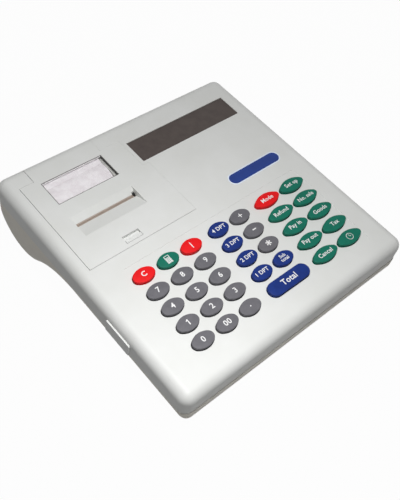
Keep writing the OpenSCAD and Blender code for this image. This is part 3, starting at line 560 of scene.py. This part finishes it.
class Library:
    """All finishes of the register, each built once."""

    def __init__(self) -> None:
        """Builds every material."""
        moulded, metal = MouldedPlastic, WorkedMetal
        self.case = moulded("case_abs", "#DFE0DE", "#DADBD8", 0.52).build()
        # The lower shell is warmer and lighter than the upper one: the warmth is its own tone, the
        # extra lightness is painted light that brightens the belly.
        self.base = moulded("base_abs_with_painted_light", "#ECE8DD", "#E5E0D5", 0.55).build()
        self.keys = {
            GREY: KeyPlastic("grey_key_abs", "#69686D", "#626166").build(),
            RED: KeyPlastic("red_key_abs", "#E81218", "#DD0E15").build(),
            GREEN: KeyPlastic("green_key_abs", "#006C58", "#006451").build(),
            BLUE: KeyPlastic("blue_key_abs", "#0C2C78", "#08266C").build(),
        }
        self.ink = PrintedInk("white_pad_print", "#F2F2F2", "#DEDEDE").build()
        self.pane = ClearPane("clear_polycarbonate", "#E8ECEC", roughness=0.05, ior=1.58).build()
        self.filter = SmokedFilter("smoked_acrylic", "#463D3A", "#4E4541", 0.4, ior=1.3).build()
        self.badge = moulded(
            "blue_badge_lacquer",
            "#173A8C",
            "#143480",
            0.3,
            ior=1.35,
            patch_mm=20.0,
            grain_mm=1.0,
            sheen_change=0.03,
        ).build()
        self.rim = PrintedInk("pale_badge_rim", "#E8F0FC", "#DFE9F8", 0.35).build()
        self.paper = ThermalPaper("thermal_paper", "#FAF5F8", "#F0E9ED", 0.6).build()
        self.dark = moulded("dark_acetal", "#3E3E40", "#38383A", 0.45, patch_mm=8.0).build()
        self.grey = moulded("grey_acetal", "#A2A19D", "#9A9995", patch_mm=12.0).build()
        self.acetal = moulded("natural_acetal", "#E6E2D6", "#DEDACD", 0.35, patch_mm=5.0).build()
        self.silicone = moulded(
            "pale_silicone", "#CFCDC8", "#C6C4BE", 0.7, ior=1.41, patch_mm=8.0
        ).build()
        self.rubber = moulded(
            "nitrile_rubber", "#232324", "#1D1D1E", 0.82, ior=1.52, patch_mm=6.0
        ).build()
        self.tear = metal(
            "tear_bar_steel", "#B0A196", "#A5978C", metallic=0.2, lay=Lay.ROUND_X
        ).build()
        self.sheet = metal("zinc_sheet", "#B9BBBD", "#A9ABAD", 0.38).build()
        self.bright = metal("bright_zinc", "#C6C8CA", "#B4B6B8", 0.25).build()
        self.can = metal("motor_can_steel", "#9A9C9E", "#8B8D8F", 0.35, lay=Lay.ACROSS).build()
        self.brass = metal("pinion_brass", "#C8AC6A", "#B79A58", 0.3, lay=Lay.ACROSS).build()
        self.ceramic = moulded("head_ceramic", "#4A4745", "#423F3D", 0.3, patch_mm=4.0).build()
        self.bezel = moulded("white_bezel_abs", "#FFFCFE", "#FAF6F8", 0.6, patch_mm=6.0).build()
        # A black finish of painted shade for the block at the end of the paper exit, where there is
        # only a shadowed hollow.
        self.stop = moulded("black_painted_shade_block", "#0C0C0D", "#080809", 0.8, patch_mm=3.0).build()
        # A dark finish of painted shade for the ring round the window's opening, whose edge lies in
        # shadow.
        self.gasket = moulded("painted_shade_ring_dark", "#4A4744", "#413E3C", 0.7, patch_mm=6.0).build()
        self.board = CircuitLaminate("solder_resist_board", "#1B5D37", "#15502F", 0.35).build()


# ---- Studio ----


@dataclass(frozen=True)
class Lamp:
    """One soft square lamp: where it hangs and where it points, in metres, its side in metres and
    its power in watts."""

    name: str
    place: Point
    aim: Point
    size: float
    power: float

    def build(self, scene: Scene) -> None:
        """Makes the lamp.

        Args:
            scene: The scene.
        """
        light = bpy.data.lights.new(self.name, "AREA")
        light.shape = "SQUARE"
        light.size = self.size
        light.energy = self.power
        lamp = bpy.data.objects.new(self.name, light)
        away = np.array(self.place) - np.array(self.aim)
        away /= np.linalg.norm(away)
        side = np.cross([0.0, 1.0, 0.0], away)
        side /= np.linalg.norm(side)
        turn = np.stack([side, np.cross(away, side), away], 1)
        lamp.matrix_world = Matrix.Translation(self.place) @ Matrix(turn.tolist()).to_4x4()
        lamp.visible_camera = False
        scene.collection.objects.link(lamp)


@dataclass
class Studio:
    """Camera, floor and lights."""

    camera_place: Point = (-0.293902, -0.300576, 0.456770)
    camera_turn: Point = (42.415858, -2.796259, -41.452634)
    lens_mm: float = 49.25
    sensor_mm: float = 36.0
    nearest: float = 0.01
    floor_half: float = 3.0
    floor_grey: float = 0.28
    floor_glow: float = 0.975
    world_strength: float = 0.09
    lamps: tuple[Lamp, ...] = (
        Lamp("key_lamp", (-0.11, -0.148, 0.32), (-0.11, -0.138, 0.04), 0.04, 0.63),
        Lamp("top_lamp", (-0.02, -0.1, 2.0), (-0.02, -0.09, 0.0), 0.2, 14.5),
        Lamp("side_lamp", (-0.45, 0.3, 0.12), (-0.1, 0.12, 0.03), 0.2, 0.04),
        Lamp("front_lamp", (-0.3, -0.65, 0.12), (-0.08, -0.12, 0.03), 0.2, 0.16),
    )

    def build(self) -> None:
        """Makes the camera, the floor, the world and the lamps."""
        scene = bpy.context.scene
        scene.view_settings.view_transform = "Standard"
        lens = bpy.data.cameras.new("camera")
        lens.lens = self.lens_mm
        lens.sensor_width = self.sensor_mm
        lens.clip_start = self.nearest
        camera = bpy.data.objects.new("camera", lens)
        camera.location = self.camera_place
        camera.rotation_euler = [math.radians(a) for a in self.camera_turn]
        scene.collection.objects.link(camera)
        scene.camera = camera
        self.build_world(scene)
        self.build_floor(scene)
        for lamp in self.lamps:
            lamp.build(scene)

    def whiten(self, tree: NodeTree, plain: NodeSocket, kind: str, share: float) -> NodeSocket:
        """Mixes plain white into what a ray meets: the share given for the rays of the camera, of
        gloss and of glass, and none for all others.

        Args:
            tree: The node tree.
            plain: What all other rays meet.
            kind: Type name of the node that gives the white.
            share: The share, from 0 to 1.

        Returns:
            The socket of the mix.
        """
        white = add_node(tree, kind, {"Color": WHITE, "Strength": 1.0})
        path = add_node(tree, "ShaderNodeLightPath")
        most = path.outputs["Is Camera Ray"]
        for ray in ("Is Glossy Ray", "Is Transmission Ray"):
            inputs = {0: most, 1: path.outputs[ray]}
            most = add_node(tree, "ShaderNodeMath", {"operation": "MAXIMUM"}, inputs).outputs[0]
        settings = {"operation": "MULTIPLY", 1: share}
        part = add_node(tree, "ShaderNodeMath", settings, {0: most}).outputs[0]
        inputs = {0: part, 1: plain, 2: white.outputs[0]}
        return add_node(tree, "ShaderNodeMixShader", None, inputs).outputs[0]

    def build_world(self, scene: Scene) -> None:
        """Makes a plain world, which the camera, gloss and glass see as white.

        Args:
            scene: The scene.
        """
        world = bpy.data.worlds.new("studio_world")
        world.use_nodes = True
        tree = world.node_tree
        plain = tree.nodes["Background"]
        plain.inputs["Color"].default_value = WHITE
        plain.inputs["Strength"].default_value = self.world_strength
        both = self.whiten(tree, plain.outputs[0], "ShaderNodeBackground", 1.0)
        tree.links.new(both, tree.nodes["World Output"].inputs["Surface"])
        scene.world = world

    def build_floor(self, scene: Scene) -> None:
        """Makes the floor, which the camera, gloss and glass see as nearly white with a trace of
        the shadow.

        Args:
            scene: The scene.
        """
        half, grey = self.floor_half, self.floor_grey
        mesh = bpy.data.meshes.new("studio_floor")
        corners = [(-half, -half, 0), (half, -half, 0), (half, half, 0), (-half, half, 0)]
        mesh.from_pydata(corners, [], [(0, 1, 2, 3)])
        floor = bpy.data.objects.new("studio_floor", mesh)
        scene.collection.objects.link(floor)
        material = bpy.data.materials.new("floor_paint")
        material.use_nodes = True
        tree = material.node_tree
        paint = tree.nodes["Principled BSDF"]
        paint.inputs["Base Color"].default_value = (grey, grey, grey, 1.0)
        paint.inputs["Roughness"].default_value = 1.0
        paint.inputs["Specular IOR Level"].default_value = 0.0
        both = self.whiten(tree, paint.outputs[0], "ShaderNodeEmission", self.floor_glow)
        tree.links.new(both, tree.nodes["Material Output"].inputs["Surface"])
        mesh.materials.append(material)


# ---- Keys ----


class Sign(Enum):
    """Signs that are drawn instead of written."""

    CALCULATOR = "calculator"
    FEED = "feed"
    CLOCK = "clock"
    DOT = "dot"
    ONE = "one"
    PLUS = "plus"
    MINUS = "minus"


Mark = Union[str, Sign]
ARC_SPREAD = 0.28
PILL_RATIO = 3
DOME_SHARES = (0.12, 0.3, 0.48, 0.64, 0.78, 0.9, 1.0)
EDGE_DEGREES = (15, 30, 45, 60, 75, 90)


def outline(
    width: float, depth: float, straight: bool, count: int = 96
) -> tuple[np.ndarray, np.ndarray]:
    """Outline of a key and its outward normals.

    An oval is four arcs. With u = (width - depth) / 4, the end arcs have their centres at x = 3u
    and the radius depth / 2 - u, and the long arcs have theirs at y = -4u and the radius
    depth / 2 + 4u. At the normal's angle a, the point is the arc's centre plus the radius times
    (cos a, sin a). A pill has half-round ends and straight sides.

    Args:
        width: Size along x.
        depth: Size along y.
        straight: True for a pill, False for an oval.
        count: Number of points, a multiple of 4.

    Returns:
        Points (count, 2) counter-clockwise, and unit normals (count, 2).
    """
    if straight:
        half = (width - depth) / 2
        ends = count // 4
        angle = np.linspace(-math.pi / 2, math.pi / 2, ends)
        right = np.stack([half + depth / 2 * np.cos(angle), depth / 2 * np.sin(angle)], 1)
        side_x = np.linspace(half, -half, count // 2 - ends + 2)[1:-1]
        top = np.stack([side_x, np.full_like(side_x, depth / 2)], 1)
        points = np.concatenate([right, top, -right, -top])
        n_right = np.stack([np.cos(angle), np.sin(angle)], 1)
        n_top = np.tile([0.0, 1.0], (len(side_x), 1))
        return points, np.concatenate([n_right, n_top, -n_right, -n_top])
    u = (width - depth) / 4
    angle = (np.arange(count) + 0.5) * 2 * math.pi / count
    # Points are spread by the curve's length: more of them on the long arcs
    angle = angle + ARC_SPREAD * np.sin(2 * angle)
    c, s = np.cos(angle), np.sin(angle)
    end = np.abs(s) * 3 < np.abs(c) * 4
    radius = np.where(end, depth / 2 - u, depth / 2 + 4 * u)
    centre_x = np.where(end, 3 * u * np.sign(c), 0.0)
    centre = np.stack([centre_x, np.where(end, 0.0, -4 * u * np.sign(s))], 1)
    normals = np.stack([c, s], 1)
    return centre + radius[:, None] * normals, normals


@dataclass
class Key:
    """One key: a solid domed cap with a rounded edge, its flange, its stem and its mark. Heights
    are over the deck. The undercut is how far the wall stands back under the edge."""

    name: str
    x: float
    y: float
    width: float
    tone: Tone
    mark: Mark
    mark_size: float
    depth: float = 13.2
    rise: float = 3.0
    dome: float = 0.3
    edge: float = 0.6
    undercut: float = 0.4
    wall_top: float = 0.4
    wall_foot: float = -2.7
    foot_out: float = 0.05
    foot_up: float = 0.15
    flange: float = 1.1
    flange_t: float = 0.9
    flange_bevel: float = 0.1
    stem_r: float = 3.0
    stem_foot: float = -5.0
    stem_bevel: float = 0.3
    sharp_deg: float = 50.0

    @property
    def straight(self) -> bool:
        """Whether the key is a pill, as the long one is.

        Returns:
            True for a pill, False for an oval.
        """
        return self.width > PILL_RATIO * self.depth

    def lift(self, x: np.ndarray, y: np.ndarray) -> np.ndarray:
        """Height of the dome: rise + dome * (1 - q), where q is the squared distance from the
        middle as a share of the cap's half-width and half-depth inside its rounded edge, at most 1.

        Args:
            x: Offsets from the key's middle.
            y: Offsets from the key's middle.

        Returns:
            Heights over the deck.
        """
        b = self.depth / 2 - self.edge
        if self.straight:
            past = np.maximum(np.abs(x) - (self.width - self.depth) / 2, 0.0)
            q = (past**2 + y**2) / b**2
        else:
            q = (x / (self.width / 2 - self.edge)) ** 2 + (y / b) ** 2
        return self.rise + self.dome * (1 - np.minimum(q, 1.0))

    def build_cap(self, material: Material) -> Object:
        """Makes the cap: rings from the middle of the dome out over the rounded edge, down the
        wall, round the flange and down the stem.

        Args:
            material: Its finish.

        Returns:
            The cap.
        """
        points, normals = outline(self.width, self.depth, self.straight)
        count = len(points)
        inner = points - self.edge * normals
        rings = []
        for share in DOME_SHARES:
            flat = inner * share
            rings.append(np.column_stack([flat, self.lift(flat[:, 0], flat[:, 1])]))
        edge_z = self.lift(inner[:, 0], inner[:, 1])
        for a in np.radians(EDGE_DEGREES):
            flat = points - self.edge * (1 - math.sin(a)) * normals
            rings.append(np.column_stack([flat, edge_z - self.edge * (1 - math.cos(a))]))
        flange_foot = self.wall_foot - self.flange_t
        steps = (
            (-self.undercut, self.wall_top),
            (-self.undercut, self.wall_foot + self.foot_up),
            (-self.undercut + self.foot_out, self.wall_foot),
            (self.flange - self.flange_bevel, self.wall_foot),
            (self.flange, self.wall_foot - self.flange_bevel),
            (self.flange, flange_foot),
        )
        for grow, z in steps:
            rings.append(np.column_stack([points + grow * normals, np.full(count, z)]))
        for inset, z in (
            (0.0, flange_foot),
            (0.0, self.stem_foot + self.stem_bevel),
            (self.stem_bevel, self.stem_foot),
        ):
            rings.append(np.column_stack([normals * (self.stem_r - inset), np.full(count, z)]))
        middle = np.array([[0.0, 0.0, self.rise + self.dome], [0.0, 0.0, self.stem_foot]])
        vertices = np.concatenate([middle[:1]] + rings + [middle[1:]])
        vertices = vertices + np.array([self.x, self.y, 0.0])
        last = 1 + count * len(rings)
        faces = ring_faces(len(rings), count, 1)
        faces += [(0, 1 + j, 1 + (j + 1) % count) for j in range(count)]
        tail = last - count
        faces += [(last, tail + (j + 1) % count, tail + j) for j in range(count)]
        return new_piece(self.name + "_cap", vertices, faces, material, self.sharp_deg)

    def build_mark(self, ink: Material) -> Optional[Object]:
        """Makes the printed mark and lays it on the dome.

        Args:
            ink: Its finish.

        Returns:
            The mark, or None where the key has none.
        """
        if isinstance(self.mark, Sign):
            flat, faces = draw_sign(self.mark)
        elif self.mark:
            flat, faces = write_words(str(self.mark), self.mark_size)
        else:
            return None
        z = self.lift(flat[:, 0], flat[:, 1]) + flat[:, 2]
        vertices = np.column_stack([flat[:, 0] + self.x, flat[:, 1] + self.y, z])
        return new_piece(self.name + "_mark", vertices, faces, ink)


INK_RISE = 0.10
MARK_SHIFT = 0.3
CAPITAL_SHARE = 0.7
LINE_SPACE = 0.85
LETTER_SPACE = 1.05
BOLD_SHARE = 0.024
CURVE_STEPS = 3
WELD_GAP = 1e-4


def write_words(words: str, size: float) -> Shape:
    """Turns words into a thin mesh in the plain built-in letters, centred on the origin.

    Args:
        words: The words, with line breaks.
        size: Height of a capital, in millimetres.

    Returns:
        Vertices (n, 3) in millimetres with z from below the surface to the ink's rise, and faces.
    """
    curve = bpy.data.curves.new("lettering", "FONT")
    curve.body = words
    curve.align_x = "CENTER"
    curve.align_y = "CENTER"
    curve.size = size / CAPITAL_SHARE
    curve.space_line = LINE_SPACE
    curve.space_character = LETTER_SPACE
    curve.offset = BOLD_SHARE * size
    curve.extrude = INK_RISE
    curve.resolution_u = CURVE_STEPS
    maker = bpy.data.objects.new("lettering", curve)
    bpy.context.scene.collection.objects.link(maker)
    graph = bpy.context.evaluated_depsgraph_get()
    mesh = bpy.data.meshes.new_from_object(maker.evaluated_get(graph))
    shell = bmesh.new()
    shell.from_mesh(mesh)
    bmesh.ops.remove_doubles(shell, verts=shell.verts, dist=WELD_GAP)
    shell.to_mesh(mesh)
    shell.free()
    points = np.zeros(len(mesh.vertices) * 3)
    mesh.vertices.foreach_get("co", points)
    faces = [tuple(p.vertices) for p in mesh.polygons]
    bpy.data.objects.remove(maker)
    bpy.data.meshes.remove(mesh)
    bpy.data.curves.remove(curve)
    points = points.reshape(-1, 3)
    low, high = points.min(0), points.max(0)
    points = points - np.array([(low[0] + high[0]) / 2, (low[1] + high[1]) / 2 - MARK_SHIFT, 0.0])
    points[:, 2] = np.where(points[:, 2] > 0, INK_RISE, -INK_RISE)
    return points, faces


def cut_outs(shapes: Sequence[Section]) -> Shape:
    """Flat shapes as one mesh.

    Args:
        shapes: Corners of each shape, counter-clockwise seen from above.

    Returns:
        Vertices (n, 3) and faces.
    """
    vertices: list[Point] = []
    faces: Faces = []
    for corners in shapes:
        faces += prism_faces(len(corners), len(vertices))
        for z in (-INK_RISE, INK_RISE):
            vertices += [(x, y, z) for x, y in corners]
    return np.array(vertices), faces


def slabs(boxes: Sequence[Sides]) -> Shape:
    """Flat boxes as one mesh.

    Args:
        boxes: Each box as its left, front, right and rear edge.

    Returns:
        Vertices (n, 3) and faces.
    """
    return cut_outs([[(x0, y0), (x1, y0), (x1, y1), (x0, y1)] for x0, y0, x1, y1 in boxes])


def disc_ring(inner: float, outer: float, count: int = 40) -> Shape:
    """A flat ring: four circles, inner and outer at the top and at the bottom.

    Args:
        inner: Inner radius, above 0.
        outer: Outer radius.
        count: Points round it.

    Returns:
        Vertices (n, 3) and faces.
    """
    angle = np.arange(count) * 2 * math.pi / count
    circle = np.stack([np.cos(angle), np.sin(angle)], 1)
    levels = ((inner, INK_RISE), (outer, INK_RISE), (outer, -INK_RISE), (inner, -INK_RISE))
    rings = [np.column_stack([r * circle, np.full(count, z)]) for r, z in levels]
    return np.concatenate(rings), ring_faces(len(rings), count, closed=True)


def draw_sign(sign: Sign) -> Shape:
    """Draws one of the plain signs about the origin.

    Args:
        sign: Which one.

    Returns:
        Vertices (n, 3) in millimetres and faces.
    """
    if sign is Sign.FEED:
        return slabs([(-0.4, -3.0, 0.4, 3.0)])
    if sign is Sign.DOT:
        return disc_ring(0.05, 0.55, 20)
    if sign is Sign.MINUS:
        return slabs([(-1.9, -0.55, 1.9, 0.55)])
    if sign is Sign.PLUS:
        a, b = 2.1, 0.42
        quarter = np.array([(a, -b), (a, b), (b, b)])
        turn = np.array([[0.0, 1.0], [-1.0, 0.0]])
        arms = [quarter @ np.linalg.matrix_power(turn, n) for n in range(4)]
        return cut_outs([[tuple(p) for p in np.concatenate(arms)]])
    if sign is Sign.ONE:
        foot = [(0.05, -2.5), (0.95, -2.5), (0.95, 2.5), (0.25, 2.5)]
        return cut_outs([foot + [(-1.1, 1.45), (-1.1, 0.75), (0.05, 1.5)]])
    if sign is Sign.CALCULATOR:
        bars = [(-2.4, 3.3, 2.4, 3.8), (-2.4, -3.8, 2.4, -3.4), (-2.4, -3.4, -1.9, 3.3)]
        bars += [(1.9, -3.4, 2.4, 3.3), (-1.9, 1.3, 1.9, 1.8)]
        corners = [(x, y) for x in (-1.72, -0.48, 0.77) for y in (-3.22, -1.76, -0.3)]
        pads = [(x, y, x + 0.95, y + 1.2) for x, y in corners]
        return slabs(bars + pads)
    ring, faces = disc_ring(2.95, 3.4)
    hands, more = slabs([(-0.22, -0.2, 0.22, 2.2), (0.22, -0.2, 1.7, 0.2)])
    return np.concatenate([ring, hands]), faces + [tuple(i + len(ring) for i in f) for f in more]


# Height of a capital in millimetres. A sign has a size of its own.
DIGIT, WORD, DEPARTMENT, DRAWN = 4.7, 3.9, 3.6, 0.0

# Name, tone, mark and height of its capitals of each key, in columns from the left
LAYOUT: tuple[tuple[tuple[str, Tone, Mark, float], ...], ...] = (
    (
        ("key_clear", RED, "C", 4.5),
        ("key_digit_7", GREY, "7", DIGIT),
        ("key_digit_4", GREY, "4", DIGIT),
        ("key_digit_1", GREY, Sign.ONE, DRAWN),
        ("key_digit_0", GREY, "0", DIGIT),
    ),
    (
        ("key_calculator", GREEN, Sign.CALCULATOR, DRAWN),
        ("key_digit_8", GREY, "8", DIGIT),
        ("key_digit_5", GREY, "5", DIGIT),
        ("key_digit_2", GREY, "2", DIGIT),
        ("key_double_zero", GREY, "00", DIGIT),
    ),
    (
        ("key_feed", RED, Sign.FEED, DRAWN),
        ("key_digit_9", GREY, "9", DIGIT),
        ("key_digit_6", GREY, "6", DIGIT),
        ("key_digit_3", GREY, "3", DIGIT),
        ("key_point", GREY, Sign.DOT, DRAWN),
    ),
    (
        ("key_department_4", BLUE, "4 DPT", DEPARTMENT),
        ("key_department_3", BLUE, "3 DPT", DEPARTMENT),
        ("key_department_2", BLUE, "2 DPT", DEPARTMENT),
        ("key_department_1", BLUE, "1 DPT", DEPARTMENT),
    ),
    (
        ("key_plus", GREY, Sign.PLUS, DRAWN),
        ("key_minus", GREY, Sign.MINUS, DRAWN),
        ("key_multiply", GREY, "*", 8.3),
        ("key_subtotal", BLUE, "Sub\ntotal", 3.0),
    ),
    (
        ("key_mode", RED, "Mode", WORD),
        ("key_refund", GREEN, "Refund", WORD),
        ("key_pay_in", GREEN, "Pay in", WORD),
        ("key_pay_out", GREEN, "Pay out", WORD),
        ("key_cancel", GREEN, "Cancel", WORD),
    ),
    (
        ("key_settings", GREEN, "Set up", WORD),
        ("key_journal", GREEN, "No. sale", 3.7),
        ("key_goods", GREEN, "Goods", WORD),
        ("key_tax", GREEN, "Tax", WORD),
        ("key_clock", GREEN, Sign.CLOCK, DRAWN),
    ),
)


@dataclass
class KeyBank:
    """All keys on their grid."""

    row_1: float = -23.1
    pitch: float = 17.83
    columns: tuple[float, ...] = (-83.35, -58.85, -34.35, -4.2, 20.45, 53.45, 84.55)
    total_x: float = 9.1
    number_w: float = 20.2
    wide_w: float = 27.8
    total_w: float = 44.6
    total_row: int = 4
    first_wide: int = 5

    def keys(self) -> list[Key]:
        """Lists every key with its place.

        Returns:
            The keys.
        """
        made = []
        for column, (x, entries) in enumerate(zip(self.columns, LAYOUT)):
            width = self.wide_w if column >= self.first_wide else self.number_w
            for row, (name, tone, mark, size) in enumerate(entries):
                y = self.row_1 - row * self.pitch
                made.append(Key(name, x, y, width, tone, mark, size))
        y = self.row_1 - self.total_row * self.pitch
        made.append(Key("key_total", self.total_x, y, self.total_w, BLUE, "Total", 5.2))
        return made

    def build(self, finishes: Library) -> None:
        """Makes each key's cap and mark, which stand for the key's node and ride with it.

        Args:
            finishes: The finishes.
        """
        made = self.keys()
        for key in made:
            cap = key.build_cap(finishes.keys[key.tone])
            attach(cap, key.name)
            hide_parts(key.name)
            mark = key.build_mark(finishes.ink)
            if mark is not None:
                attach(mark, key.name)
        LOG.info("key bank: %d keys", len(made))


# ---- Case, cover and what is under it ----


def dress(material: Material, *nodes: str) -> None:
    """Gives nodes of the frame their finish.

    Args:
        material: The finish.
        nodes: Their names.
    """
    for node in nodes:
        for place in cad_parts[node].material_slots:
            place.material = material


@dataclass
class CaseShell:
    """The two shells with what is fixed to their outside."""

    badge_x: float = 72.1
    badge_y: float = 12.1
    badge_l: float = 60.5
    badge_w: float = 12.0
    badge_top: float = 0.2
    rim_w: float = 1.15
    rim_out: float = 0.75
    rim_h: float = 0.12
    rim_foot: float = -0.05
    rim_points: int = 128
    rim_steps: int = 7
    rim_sharp_deg: float = 60.0
    deck_edge_r: float = 9.0
    rear_y: float = 126.6
    seal_top: float = -0.02
    seal_h: float = 0.9
    seal_across: float = -0.5
    arc_steps: int = 10
    seal_sharp_deg: float = 30.0

    def build(self, finishes: Library) -> None:
        """Dresses the shells and makes the rim of the badge and the seal of the cover's seam.

        Args:
            finishes: The finishes.
        """
        dress(finishes.case, "upper_case", "port_cover")
        dress(finishes.base, "lower_case")
        dress(finishes.rubber, "rubber_feet")
        dress(finishes.bright, "case_screws", "hinge_pins")
        dress(finishes.filter, "display_filter")
        dress(finishes.board, "display_module")
        dress(finishes.badge, "blank_badge")
        self.build_rim(finishes.rim)
        self.build_seal(finishes.case)
        LOG.info("case shell: dressed")

    def build_seal(self, material: Material) -> None:
        """Makes the pale seal that fills the seam on the cover's right side: strips carried along
        x, whose side views are bands of the height seal_h under the deck. The last one follows the
        round rear edge, which is an arc of the radius deck_edge_r. The two across the cover's rear
        edges reach down to seal_across and lean with those edges.

        Args:
            material: Its finish.
        """
        top, low = self.seal_top, self.seal_top - self.seal_h
        across = self.seal_across
        turn = np.radians(np.linspace(90, 0, self.arc_steps))
        mid_y, mid_z = self.rear_y - self.deck_edge_r, -self.deck_edge_r
        arcs = [
            [(mid_y + r * math.cos(a), mid_z + r * math.sin(a)) for a in turn]
            for r in (self.deck_edge_r + low, self.deck_edge_r + top)
        ]
        strips = (
            (-4.36, -4.08, [(5.4, low), (70.4, low), (70.4, top), (5.4, top)]),
            (-11.14, -4.4, [(70.42, across), (70.70, across), (70.82, top), (70.54, top)]),
            (-11.16, -10.88, [(70.9, low), (105.1, low), (105.1, top), (70.9, top)]),
            (-31.94, -10.9, [(105.19, across), (105.52, across), (105.87, top), (105.53, top)]),
            (-32.26, -31.98, [(105.9, low)] + arcs[0] + arcs[1][::-1] + [(105.9, top)]),
        )
        vertices: list[Point] = []
        faces: Faces = []
        for x0, x1, profile in strips:
            faces += prism_faces(len(profile), len(vertices))
            for x in (x0, x1):
                vertices += [(x, y, z) for y, z in profile]
        seal = new_piece("seam_seal", np.array(vertices), faces, material, self.seal_sharp_deg)
        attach(seal, "case")

    def build_rim(self, material: Material) -> None:
        """Makes the pale rim: the badge's outline carried round as a low half-round band. Its
        section is (way outwards, height) = (rim_out - rim_w * t, rim_h * 4 t (1 - t)), for t from
        0 to 1.

        Args:
            material: Its finish.
        """
        count = self.rim_points
        points, normals = outline(self.badge_l, self.badge_w, True, count)
        rings = []
        for t in np.linspace(0.0, 1.0, self.rim_steps):
            height = self.badge_top + self.rim_h * 4 * t * (1 - t)
            flat = points + (self.rim_out - self.rim_w * t) * normals
            rings.append(np.column_stack([flat, np.full(count, height)]))
        foot = np.full(count, self.rim_foot)
        outer, inner = (np.column_stack([r[:, :2], foot]) for r in (rings[0], rings[-1]))
        order = [inner] + rings[::-1] + [outer]
        vertices = np.concatenate(order) + np.array([self.badge_x, self.badge_y, 0.0])
        faces = ring_faces(len(order), count, closed=True)
        rim = new_piece("badge_rim", vertices, faces, material, self.rim_sharp_deg)
        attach(rim, "case")


@dataclass
class Keyboard:
    """The layers under the keys."""

    def build(self, finishes: Library) -> None:
        """Dresses the boards and the dome mat.

        Args:
            finishes: The finishes.
        """
        dress(finishes.board, "keyboard_board", "main_board")
        dress(finishes.silicone, "dome_mat")
        LOG.info("keyboard: dressed")


@dataclass
class PrinterCover:
    """The hinged cover with its window, tear bar and latch."""

    window: Sides = (-96.38, 73.62, -34.82, 100.78)
    bezel: Section = ((1.3, -1.27), (0.0, -0.5), (0.0, -1.27))
    bezel_shares: Sides = (0.6, 0.6, 0.1, 0.5)
    # A thin dark ring of painted shade round the window's opening, where its edge lies in shadow:
    # its section and how far in it reaches at each side.
    gasket: Section = ((0.55, -0.12), (0.0, -0.12), (0.0, -0.49), (0.55, -0.49))
    gasket_shares: Sides = (1.0, 1.0, 1.7, 0.6)
    liner: Box = ((-97.0, 50.7, -5.5), (-37.1, 51.86, -5.1))
    # A black block of painted shade in the end of the paper exit, where there is only a shadowed
    # hollow.
    end_stop: Box = ((-36.95, 51.0, -6.8), (-34.25, 53.4, -4.8))
    plate: Box = ((-97.6, 95.0, -3.92), (-37.45, 102.0, -3.8))
    plate_rise: float = 1.2

    def build(self, finishes: Library) -> None:
        """Dresses the cover's pieces and makes the window's white bezel, its dark ring of painted
        shade where the opening's edge lies in shadow, the liner, a black block of painted shade in
        the end of the paper exit, and the guide over the roll.

        Args:
            finishes: The finishes.
        """
        dress(finishes.case, "printer_cover", "cover_latch")
        dress(finishes.pane, "roll_window")
        dress(finishes.tear, "tear_bar")
        for name, section, shares, material, slot in (
            ("window_bezel", self.bezel, self.bezel_shares, finishes.bezel, "white_plastic"),
            # The second frame is a dark ring of painted shade.
            ("window_painted_shade_ring", self.gasket, self.gasket_shares, finishes.gasket, "dark_plastic"),
        ):
            self.build_frame(name, section, shares, material)
        for name, box, material, slot in (
            ("slot_liner", self.liner, finishes.tear, "tear_steel"),
            # A black block of painted shade.
            ("slot_painted_shade_block", self.end_stop, finishes.stop, "black_rubber"),
        ):
            piece = new_box(name, box, material)
            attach(piece, "printer_cover")
        plate = new_box("paper_plate", self.plate, finishes.paper, self.plate_rise)
        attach(plate, "printer_cover")
        LOG.info("printer cover: dressed")

    def build_frame(
        self, name: str, section: Section, shares: Sides, material: Material
    ) -> None:
        """Carries a section round the inside of the window's opening.

        Args:
            name: The piece's name.
            section: Its corners as (way inwards, height), from the top of its inner side outwards.
            shares: How much of the way inwards holds at the left, front, right and rear.
            material: Its finish.
        """
        x0, y0, x1, y1 = self.window
        left, front, right, rear = shares
        rings = [
            [(x0 + a * left, y0 + a * front, z), (x1 - a * right, y0 + a * front, z)]
            + [(x1 - a * right, y1 - a * rear, z), (x0 + a * left, y1 - a * rear, z)]
            for a, z in section
        ]
        faces = ring_faces(len(rings), len(rings[0]), closed=True)
        piece = new_piece(name, np.array(rings).reshape(-1, 3), faces, material)
        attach(piece, "printer_cover")


@dataclass
class PrintUnit:
    """Frame, head, platen and drive."""

    def build(self, finishes: Library) -> None:
        """Dresses the print unit.

        Args:
            finishes: The finishes.
        """
        dress(finishes.sheet, "printer_frame")
        dress(finishes.ceramic, "thermal_head")
        dress(finishes.rubber, "platen_roller")
        dress(finishes.acetal, "platen_gear", "idler_gear")
        dress(finishes.brass, "motor_pinion")
        dress(finishes.can, "stepper_motor")
        LOG.info("print unit: dressed")


@dataclass
class PaperSupply:
    """The roll, its spindle and its cradle."""

    cheek_cap: Box = ((-37.0, 74.6, -6.5), (-34.9, 100.2, -3.6))

    def build(self, finishes: Library) -> None:
        """Dresses the paper supply and makes the pale cap on the cheek beside the roll's end.

        Args:
            finishes: The finishes.
        """
        dress(finishes.paper, "paper_roll")
        dress(finishes.dark, "roll_spindle")
        dress(finishes.grey, "roll_cradle")
        cap = new_box("cheek_cap", self.cheek_cap, finishes.silicone)
        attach(cap, "case")
        LOG.info("paper supply: dressed")


def main() -> None:
    """Builds the studio and then each sub-assembly."""
    logging.basicConfig(level=logging.INFO, format="%(name)s: %(message)s")
    Studio().build()
    finishes = Library()
    builders: list[Callable[[Library], None]] = [
        CaseShell().build,
        KeyBank().build,
        Keyboard().build,
        PrinterCover().build,
        PrintUnit().build,
        PaperSupply().build,
    ]
    for build in builders:
        build(finishes)
    bpy.context.view_layer.update()


if __name__ == "__main__":
    main()
